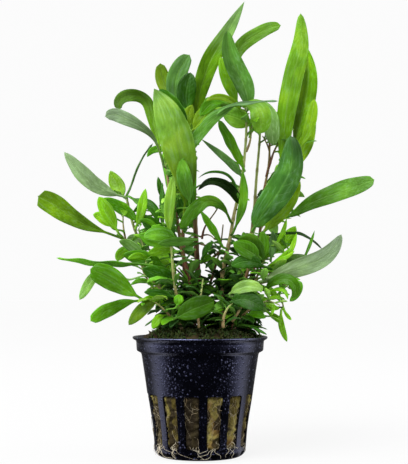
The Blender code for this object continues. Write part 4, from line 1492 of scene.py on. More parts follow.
@dataclass
class Foliage:
    """All leaves: the laid-out ones, the young ones on the stems and the undergrowth."""

    stems: tuple[Stem, ...]
    twigs: tuple[Stem, ...]
    finishes: dict[Tone, bpy.types.Material]
    front: FrontView = field(default_factory=FrontView)
    reach: float = 16.0
    hidden_share: float = 0.93
    box_margin: float = 0.6
    basal_box: tuple[Span, Span, Span] = ((-19.5, 24.5), (-25.0, 25.0), (52.0, 77.0))

    def frame_of(self, leaf: Leaf, count: int) -> tuple[np.ndarray, np.ndarray, np.ndarray]:
        """A leaf's midrib, the direction across it and the one that its upper face looks along.

        Across is cos(turn) of the direction flat to the eye and sin(turn) of the one towards it.

        Args:
            leaf: The leaf.
            count: How many places.

        Returns:
            Three arrays with a row a place.
        """
        midrib = smooth_path(seen(leaf.midrib), count)
        ahead = unit(np.gradient(midrib, axis=0))
        flat = unit(np.cross([0.0, 1.0, 0.0], ahead))
        turn = np.radians(np.linspace(*leaf.face, count))[:, None]
        across = np.cos(turn) * flat + np.sin(turn) * np.cross(flat, ahead)
        return midrib, across, np.cross(across, ahead)

    def join(self, midrib: np.ndarray) -> np.ndarray:
        """Places that carry a leaf's stalk into the nearest stem, on a Hermite curve that leaves it upward.

        Args:
            midrib: The leaf's own places.

        Returns:
            The extra places, from inside the stem up to but not at the leaf's first place.
        """
        start = midrib[0]
        lines = np.concatenate([stem.centre() for stem in self.stems + self.twigs])
        below = lines[lines[:, 2] < start[2] + 1.0]
        lines = below if len(below) else lines
        gap = np.linalg.norm(lines - start, axis=1) + 0.35 * np.abs(lines[:, 2] - start[2] + 2.0)
        foot = lines[gap.argmin()]
        far = np.linalg.norm(foot - start)
        if far > self.reach:
            LOG.warning("a stalk starts %.1f mm from its stem", far)
        t = np.linspace(0, 1, 9)[:-1, None]
        leave, arrive = np.array([0, 0, 0.8 * far]), unit(midrib[1] - midrib[0]) * far * 0.8
        return ((2 * t ** 3 - 3 * t ** 2 + 1) * foot + (t ** 3 - 2 * t ** 2 + t) * leave
                + (3 * t ** 2 - 2 * t ** 3) * start + (t ** 3 - t ** 2) * arrive)

    def lay(self, leaf: Leaf, number: int) -> Skin:
        """The skin of a laid-out leaf with its stalk carried into the stem, marked on the front view.

        Args:
            leaf: The leaf.
            number: Its place in the list, which sets the phase of its ripples.

        Returns:
            The skin.
        """
        length = np.linalg.norm(np.diff(leaf.midrib, axis=0), axis=1).sum()
        count = int(np.clip(length / 1.1, 22, 52))
        midrib, across, upper = self.frame_of(leaf, count)
        blade = Blade(leaf.widest, leaf.point, leaf.stalk, leaf.fold, leaf.width,
                      ripple=min(0.6, length / 90), phase=number * 0.37)
        along = np.linspace(0, 1, count)
        half = blade.half_width(along)[:, None]
        self.front.cover(midrib - half * across, midrib + half * across)
        extra = self.join(midrib)
        more = len(extra)
        midrib = np.concatenate([extra, midrib])
        across, upper = (np.concatenate([np.repeat(side[:1], more, axis=0), side])
                         for side in (across, upper))
        share = np.concatenate([np.linspace(-0.1, -0.01, more), along])
        return blade.skin(midrib, across, upper, share, leaf.look)

    def gather(self, name: str, tone: Tone, skins: list[Skin]) -> None:
        """Joins skins into one piece of a tone, if there are any.

        Args:
            name: The piece's name.
            tone: Its finish.
            skins: The leaves.
        """
        LOG.info("%s: %d leaves", name, len(skins))
        if skins:
            Skin.merged(skins).piece(name, self.finishes[tone], tone.value)

    def stem_leaves(self) -> None:
        """The young leaves that the stems carry, one piece a stem."""
        for number, stem in enumerate(self.stems):
            path = stem.centre(101)
            skins = []
            for sprout in stem.sprouts:
                # Sprouts low on the stem get less light, as painted shade.
                look = Look((0.34, 0.46)) if sprout.share < 0.3 else Look((0.45, 0.55))
                skins.append(sprout.skin(path[round(100 * sprout.share)], look))
                self.front.taken.append(skins[-1].vertices[::9])
            self.gather(f"{stem.name}_young_leaves", (Tone.GREEN, Tone.DARK)[number % 2], skins)

    def scatter(self, name: str, seed: int, spacing: float, sizes: Span, in_thickets: bool,
                apart: float, tries: int = 9) -> None:
        """Leaves at the stems' nodes wherever the front's leaves hide them, so that sides and back are full.

        Each node tries random directions and keeps the first leaf that is hidden and clear of the others.

        Args:
            name: What the pieces are called.
            seed: Picks them.
            spacing: How far apart the nodes are in mm.
            sizes: The shortest and the longest leaf in mm.
            in_thickets: Whether they may also show, inside the thickets' outlines, and grow on twigs too.
            apart: How far they keep from what is there, in mm.
            tries: How many times a node's leaf is tried.
        """
        dice = np.random.default_rng(seed)
        low, high = (np.array(corner) / MM for corner in CAD_BOX)
        lowest, widths = (0.02, (0.17, 0.32)) if in_thickets else (0.2, (0.22, 0.30))
        skins: dict[Tone, list[Skin]] = {tone: [] for tone in Tone}
        for stem in self.stems + (self.twigs if in_thickets else ()):
            path = stem.centre(121)
            length = np.linalg.norm(np.diff(path, axis=0), axis=1).sum()
            for share in np.arange(lowest, 1.0, spacing / length):
                foot = path[round(120 * share)]
                for attempt in range(tries):
                    azimuth = dice.uniform(-20, 200) if attempt < tries - 3 else dice.uniform(0, 360)
                    azimuth = dice.uniform(0, 360) if in_thickets else azimuth
                    rise, size = dice.uniform(5, 60), dice.uniform(*sizes) * (1 - 0.05 * attempt)
                    roll, droop = dice.uniform(-35, 35), dice.uniform(0.15, 0.55)
                    width = size * dice.uniform(*widths)
                    sprout = Sprout(share, azimuth, rise, size, width, droop, roll)
                    midrib, across, _ = sprout.frame(foot, 14)
                    side = across[3:-2] * width * 0.45
                    margins = np.concatenate([midrib[2:], midrib[3:-2] - side, midrib[3:-2] + side])
                    inside = ((margins > low + self.box_margin) & (margins < high - self.box_margin)).all()
                    if (not inside or self.front.share_hidden(margins, in_thickets) < self.hidden_share
                            or self.front.clearance(margins[3:]) < apart):
                        continue
                    # Painted light and shade: light by place and rising from foot to tip, edge lightens one half and
                    # darkens the other; grey is a painted sheen.
                    tones, light = self.shade_at(margins.mean(axis=0), in_thickets)
                    tone = dice.choice(np.array(tones, dtype=object))
                    light += dice.uniform(0, 0.22)
                    edge = dice.uniform(-0.09, 0.09)
                    look = Look((light * 0.85, light + 0.1), (edge, -edge), (0.0, dice.uniform(0, 0.7) ** 2),
                                (0.0, dice.uniform(0, 0.6) ** 2))
                    skins[tone].append(sprout.skin(foot, look))
                    self.front.taken.append(margins)
                    break
        for tone, made in skins.items():
            self.gather(f"{name}_{tone.name.lower()}", tone, made)

    @staticmethod
    def shade_at(place: np.ndarray, in_thickets: bool) -> tuple[list[Tone], float]:
        """The tones of leaves at a place, and their least light, as painted shade: dark low in the middle, pale at
        the sides.

        Args:
            place: Where the leaf is, in mm.
            in_thickets: Whether it is one of a thicket's.

        Returns:
            Four tones to pick from, and the light.
        """
        if not in_thickets:
            return [Tone.GREEN, Tone.DARK, Tone.LIME, Tone.GREEN], 0.35
        if -13.0 < place[0] < 22.0 and place[2] < 88.0:
            return [Tone.DARK, Tone.DARK, Tone.GREEN, Tone.GREEN], 0.20 + 0.010 * max(0.0, place[2] - 60.0)
        return [Tone.LIME, Tone.LIME, Tone.GREEN, Tone.GREEN], 0.52

    def basal(self, count: int = 700) -> None:
        """The low thicket of small dark leaves round the stems' feet.

        Args:
            count: How many leaves are tried; those that would show outside the thicket are left.
        """
        dice = np.random.default_rng(17)
        skins: dict[Tone, list[Skin]] = {Tone.DARK: [], Tone.GREEN: []}
        for number in range(count):
            path = self.stems[number % len(self.stems)].centre(101)
            foot = path[int(dice.uniform(0, 30) ** 0.95)] + dice.normal(0, 1.2, 3)
            azimuth, rise = dice.uniform(0, 360), dice.uniform(-8, 62)
            size = dice.uniform(4, 10)
            heading = np.radians(azimuth)
            tip = foot + size * np.array([np.cos(heading) * 0.8, np.sin(heading) * 0.8, 0.3])
            if not all(low < at < high for at, (low, high) in zip(tip, self.basal_box)):
                continue
            tone = Tone.GREEN if dice.uniform() < 0.28 else Tone.DARK
            # Painted shade: each leaf's light is darker at its foot than at its tip; grey is a painted sheen.
            light = dice.uniform(0.04, 0.58)
            look = Look((light * 0.7, light * 1.1), yellow=(0.0, dice.uniform(0, 0.5) ** 2),
                        grey=(0.0, dice.uniform(0, 0.5) ** 2))
            sprout = Sprout(0.0, azimuth, rise, size, size * dice.uniform(0.24, 0.40), dice.uniform(0.1, 0.6),
                            dice.uniform(-40, 40))
            skins[tone].append(sprout.skin(foot, look, fine=False))
        for tone, made in skins.items():
            self.gather(f"basal_leaves_{tone.name.lower()}", tone, made)

    def build(self, leaves: list[Leaf], small: list[Leaf], first_small: int = 60) -> None:
        """Builds every leaf.

        Args:
            leaves: Those that have a CAD node of their own.
            small: The small ones that have none.
            first_small: The number of the first small one.
        """
        for number, leaf in [*enumerate(leaves), *enumerate(small, first_small)]:
            nodes = [leaf.name] if number < first_small else []
            self.lay(leaf, number).piece(f"{leaf.name}_blade", self.finishes[leaf.tone], leaf.tone.value,
                                         *nodes)
        self.stem_leaves()
        self.basal()
        self.scatter("undergrowth", seed=5, spacing=5.0, sizes=(14, 34), in_thickets=False, apart=1.2)
        self.scatter("thicket", seed=6, spacing=2.3, sizes=(6, 17), in_thickets=True, apart=0.6)


@dataclass
class Studio:
    """A pale floor, an even pale surround, a soft high light in front, and a tall soft box at each side."""

    lens: float = 87.6
    sensor: float = 36.0
    pitch: float = 92.9
    surround: float = 0.97
    fill: float = 0.53
    floor_glow: float = 0.935
    glow_far: float = 4.8
    glow_near: float = 1.4
    glow_apart: Span = (0.22, 0.60)
    glow_least: float = 0.02
    floor_share: float = 0.92
    floor_radius: float = 6.0
    floor_drop: float = 0.0002
    key: float = 3.95
    key_angle: float = 40.0
    key_turn: tuple[float, float, float] = (40.0, -8.0, -22.0)
    side_power: float = 6.0
    side_size: Span = (0.22, 0.9)
    side_place: tuple[float, float, float] = (0.8, -0.02, 0.3)

    def camera(self) -> None:
        """The camera at the eye that the places are given for."""
        data = bpy.data.cameras.new("camera")
        data.lens, data.sensor_width, data.sensor_fit = self.lens, self.sensor, "AUTO"
        data.clip_start, data.clip_end = 0.01, 50.0
        camera = placed("camera", data)
        camera.location = EYE * MM
        camera.rotation_euler = (np.radians(self.pitch), 0.0, 0.0)
        bpy.context.scene.camera = camera

    def reflected(self, net: Net, place: Socket, plain: float, near: float) -> Socket:
        """A strength that is even, but for reflections is dark in front and behind and glows at both sides.

        With y the back part of the place's unit direction over the floor, the glow far from the pot rises
        over y = -0.88..-0.42 and the near one over -0.55..0.05, and both sink over -0.1..0.55.

        Args:
            net: The node tree.
            place: The direction or the place on the floor.
            plain: The even strength.
            near: The strength of the glow close to the pot.

        Returns:
            The strength.
        """
        level = net.vector("MULTIPLY", place, (1.0, 1.0, 0.0))[0]
        back = net.split(net.vector("NORMALIZE", level)[0])[1]
        away = net.step(net.vector("LENGTH", level)[1], *self.glow_apart)
        wide = net.product(net.step(back, -0.88, -0.42, self.glow_least, self.glow_far), away)
        slim = net.product(net.step(back, -0.55, 0.05, self.glow_least, near),
                           net.math("SUBTRACT", 1.0, away))
        glow = net.product(net.math("ADD", wide, slim), net.step(back, -0.1, 0.55, 1.0, 0.05))
        glossy = net.add("LightPath").outputs["Is Glossy Ray"]
        return net.product(glossy, net.math("SUBTRACT", glow, plain), plain)

    def surroundings(self) -> None:
        """The even surround: pale to the camera, and weaker as a light."""
        world = bpy.data.worlds.new("surround")
        world.use_nodes = True
        net = Net(world.node_tree)
        fill = self.reflected(net, net.add("TexCoord").outputs["Generated"], self.fill, self.glow_far)
        direct = net.add("LightPath").outputs["Is Camera Ray"]
        strength = net.product(direct, net.math("SUBTRACT", self.surround, fill), fill)
        light = net.add("Background", {"Color": (1.0, 1.0, 1.0), "Strength": strength})
        net.add("OutputWorld", {0: light.outputs[0]})
        bpy.context.scene.world = world
        bpy.context.scene.view_settings.view_transform = "Standard"

    def floor(self, sides: int = 96) -> None:
        """The plain pale floor, round with so many sides.

        Args:
            sides: How many sides it has.
        """
        mesh = bpy.data.meshes.new("floor")
        turn = np.linspace(0, 2 * np.pi, sides, endpoint=False)
        edge = np.stack([self.floor_radius * np.cos(turn), self.floor_radius * np.sin(turn),
                         np.full(sides, -self.floor_drop)], axis=1)
        mesh.from_pydata(edge.tolist(), [], [list(range(sides))])
        material, net = Net.material("pale_floor")
        matt = net.add("BsdfDiffuse", {"Color": (0.9, 0.9, 0.9)}).outputs[0]
        glow = self.reflected(net, net.place(), self.floor_glow, self.glow_near)
        even = net.add("Emission", {"Color": (1.0, 1.0, 1.0), "Strength": glow}).outputs[0]
        share = net.math("MAXIMUM", net.add("LightPath").outputs["Is Glossy Ray"], self.floor_share)
        net.show(net.add("MixShader", {0: share, 1: matt, 2: even}).outputs[0])
        mesh.materials.append(material)
        placed("floor", mesh)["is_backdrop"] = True

    def lights(self) -> None:
        """The high front light as a wide sun, and two tall soft boxes at the sides."""
        sun = bpy.data.lights.new("high_front", "SUN")
        sun.energy, sun.angle = self.key, np.radians(self.key_angle)
        placed("high_front", sun).rotation_euler = np.radians(self.key_turn)
        for name, side, power in (("left_box", -1.0, 1.0), ("right_box", 1.0, 0.8)):
            box = bpy.data.lights.new(name, "AREA")
            box.shape, box.energy = "RECTANGLE", self.side_power * power
            box.size, box.size_y = self.side_size
            lamp = placed(name, box)
            lamp.location = (side * self.side_place[0], *self.side_place[1:])
            lamp.rotation_euler = (0.0, side * np.radians(90), 0.0)
            lamp.visible_glossy = False

    def build(self) -> None:
        """Sets up the camera, the surround, the floor and the lights."""
        self.camera()
        self.surroundings()
        self.floor()
        self.lights()


# The tones run from lime, partly painted light for leaves lit through, to dark, partly painted shade; each grey
# colour is a painted sheen.
LEAF_FINISHES = (
    LeafFinish(Tone.LIME, (0.165, 0.410, 0.004), (0.200, 0.400, 0.060), (0.330, 0.480, 0.012),
               (0.200, 0.340, 0.150), (0.250, 0.460, 0.070), (1.3, 1.2, 0.4)),
    LeafFinish(Tone.GREEN, (0.090, 0.300, 0.003), (0.140, 0.310, 0.050), (0.180, 0.400, 0.008),
               (0.160, 0.290, 0.140), (0.180, 0.400, 0.055), (1.5, 1.3, 0.4)),
    LeafFinish(Tone.DARK, (0.032, 0.135, 0.003), (0.060, 0.170, 0.026), (0.100, 0.260, 0.006),
               (0.100, 0.190, 0.105), (0.090, 0.240, 0.030), (1.6, 1.4, 0.4)),
    LeafFinish(Tone.PALE, (0.160, 0.330, 0.065), (0.240, 0.390, 0.145), (0.230, 0.400, 0.040),
               (0.280, 0.400, 0.240), (0.280, 0.450, 0.160), (1.3, 1.2, 0.7)),
)
STEM_FINISHES = (
    StemFinish(Wood.OLIVE, (0.260, 0.190, 0.075), (0.240, 0.300, 0.080), (0.130, 0.150, 0.035)),
    StemFinish(Wood.RED, (0.120, 0.038, 0.014), (0.160, 0.120, 0.032), (0.060, 0.018, 0.008)),
)
ROOTS = ThreadFinish("root_threads", (0.07, 0.05, 0.015), (0.72, 0.66, 0.50), (0.24, 0.14, 0.05), 0.5)
MOSS = ThreadFinish("moss", (0.004, 0.009, 0.001), (0.022, 0.050, 0.003), (0.040, 0.024, 0.004), 0.6)

# A stem: its name, its route as across,up,back in mm, its thickness at foot and top, its wood and its
# sprouts, each as share,azimuth,rise,length,width. The back is counted from the pot's axis.
STEMS = """
stem_front_left | -2.5,55.5,-6 -3.3,66.4,-7 -4.5,74.6,-8 -6.6,83.6,-8 -8.6,93,-8 -10.3,103.3,-8
  -12.7,111.5,-7 -13.7,121,-6 | 2 1.4 | red | 0.1,290,30,12,6 0.2,262,45,11,5.5
stem_middle | 0.5,55,0 -0.2,66.4,0 -1.2,82.8,0 -2,98.4,1 -2.5,115.6,2 -3,134,3 | 2.8 1.6 | red |
  0.14,75,45,10,5
stem_olive | 8.6,55,-5 8.8,64.4,-6 9,74.2,-7 10.3,83.6,-7 11.9,89.8,-7 13.5,99.2,-6 16,109.5,-5
  17.6,119.7,-4 18.9,134,-3 18.5,147.5,-3 | 1.9 1.2 | olive | 0.06,255,25,13,6.5 0.17,280,40,12,6
stem_right_upright | 12,55,4 16,70,5 19.5,86,6 21.7,98.4,7 23,115.6,7 23.8,123.8,7 24.8,139.5,6 | 1.9 1.2 |
  olive | 0.1,25,20,13,6 0.25,80,35,12,5.5 0.62,35,45,16,6.5
stem_right_brown | 15,55,-1 19.5,70.5,-1 22.6,82,-1 24.4,93,0 26.2,111.5,1 27.1,115.6,1 28.3,123.8,1
  28.5,131,1 | 1.8 1.1 | red | 0.2,15,25,12,6
stem_right_low | 13.5,55,-9 17.6,72.6,-10 21.5,84,-10 25.4,94.5,-9 29.5,98.6,-8 | 1.8 1.2 | red |
  0.1,305,15,12,6 0.24,270,40,10,5
stem_pale_front | -7.5,55.5,-12 -9.4,67.7,-14 -11.1,77.9,-15 -11.5,86.9,-15 -12.1,92,-15 | 1.6 1.3 | olive |
  0.12,235,10,12,6 0.36,210,30,11,5.5
stem_left | -9,55,-3 -12.3,66.4,-3 -17.2,71.3,-3 -21.3,76.7,-3 -24.6,82,-2 -28.7,86.9,-2 -31.2,90.2,-2 | 1.8
  1.2 | olive | 0.1,195,5,13,6
stem_left_upper | -8,55,4 -15,70,5 -21,82,6 -25.4,92,6 -28.7,101,5 -29.9,107.4,4 | 1.8 1.2 | olive |
  0.12,150,15,13,6 0.5,120,30,15,6.5
stem_sprig | 19,54.5,-3 25.4,63,-3 30,68,-3 33.6,67,-4 34,62.5,-4 | 1.2 0.9 | olive
stem_back | -3,54.5,11 -6,75,14 -7,100,17 -6.5,120,18 -5,136,18 | 2.1 1.3 | red | 0.06,125,15,13,6
  0.15,80,35,12,6 0.38,55,35,17,7 0.55,150,45,17,7
stem_back_right | 10,54.5,13 16,75,18 22,95,21 30,112,21 36,124,19 | 2 1.3 | olive | 0.07,50,10,13,6
  0.3,120,35,15,6.5 0.5,30,30,16,7
"""

TWIGS = """
twig_left | -30.3,90.6,0 -31.3,95.9,0 -31.4,101.3,0 -31.2,104.5,0 | 0.8 0.6 | olive
twig_centre_dark | 0.8,91,-4 2,95.9,-5 4.5,99.6,-6 7.4,103.9,-8 | 0.9 0.6 | red
twig_centre_level | 0,91.8,-3 2.5,92.7,-4 4.5,92.2,-5 6.1,90.6,-6 | 0.7 0.5 | red
twig_centre_lower | 0,89,-3 3.7,87.7,-4 7.8,85.3,-5 | 0.8 0.6 | olive
twig_centre_cross | 8.2,85.7,-6 4.5,82.8,-4 1.6,81.2,-2 | 0.8 0.6 | red
twig_right_fork | 18.9,126.7,-3 20.5,131.2,-3 21.1,136.1,-2 22.5,141,-2 | 1 0.7 | olive
twig_right_upper | 27.1,116.4,1 28.3,121.8,1 28.3,127.1,1 25.6,133.2,1 | 1.1 0.6 | red
twig_right_upper_out | 27.9,119.7,1 29.5,124.6,1 31.2,128.7,1 34,132,0 | 1.1 0.8 | red
twig_left_upright | -12.3,92.7,-10 -13.1,105.4,-9 -13.1,115.6,-8 -13.9,123,-7 | 1.4 1 | red
twig_low_front_right | 9.4,54.9,-20 9.8,59.9,-20 11.9,63.5,-20 14.8,66.4,-19 | 1.3 0.8 | olive
twig_low_front_left | -0.4,54.9,-20 -0.8,59,-20 0,66.4,-17 1.2,74.6,-12 | 1 0.9 | olive
twig_left_inner | -16.4,66.4,-6 -20.5,73,-6 -23.4,78.7,-6 -24.6,86.1,-5 | 1.1 0.8 | olive
twig_left_inner_low | -13.1,66.4,-8 -17.2,71.8,-8 -20.5,76.3,-8 -22.1,82,-8 | 1.1 0.8 | olive
twig_left_outer | -14.8,68.1,-2 -19.7,76.3,-2 -22.1,83.6,-1 -25,95.1,0 | 1.2 0.8 | olive
twig_right_out | 18.9,66.4,-8 23.8,72.2,-9 29.5,77.5,-9 35.3,83.6,-9 38.5,88.1,-9 | 1.1 0.6 | olive
twig_right_low_out | 16.4,59,-14 21.3,63.1,-17 27.1,65.6,-18 32.4,64,-19 | 1 0.6 | olive
twig_right_upright | 20.5,69.7,-5 24.2,77.9,-6 27.1,85.3,-7 28.7,91.8,-7 | 1.1 0.7 | olive
twig_right_level | 21.3,71.3,-11 27.1,73.4,-14 32.8,73,-16 36.9,70.5,-17 | 0.9 0.5 | olive
twig_right_front | 13.1,57.4,-17 17.2,64,-19 20.5,69.7,-20 23,73.4,-20 | 1.1 0.8 | olive
twig_left_low_out | -11.5,59,-14 -15.6,63.1,-16 -19.7,65.6,-17 -23,64.8,-18 | 0.9 0.5 | olive
twig_centre_back | 2,66.4,8 5.7,77.9,9 8.2,87.7,9 9.4,96.8,9 | 1.2 0.7 | red
"""
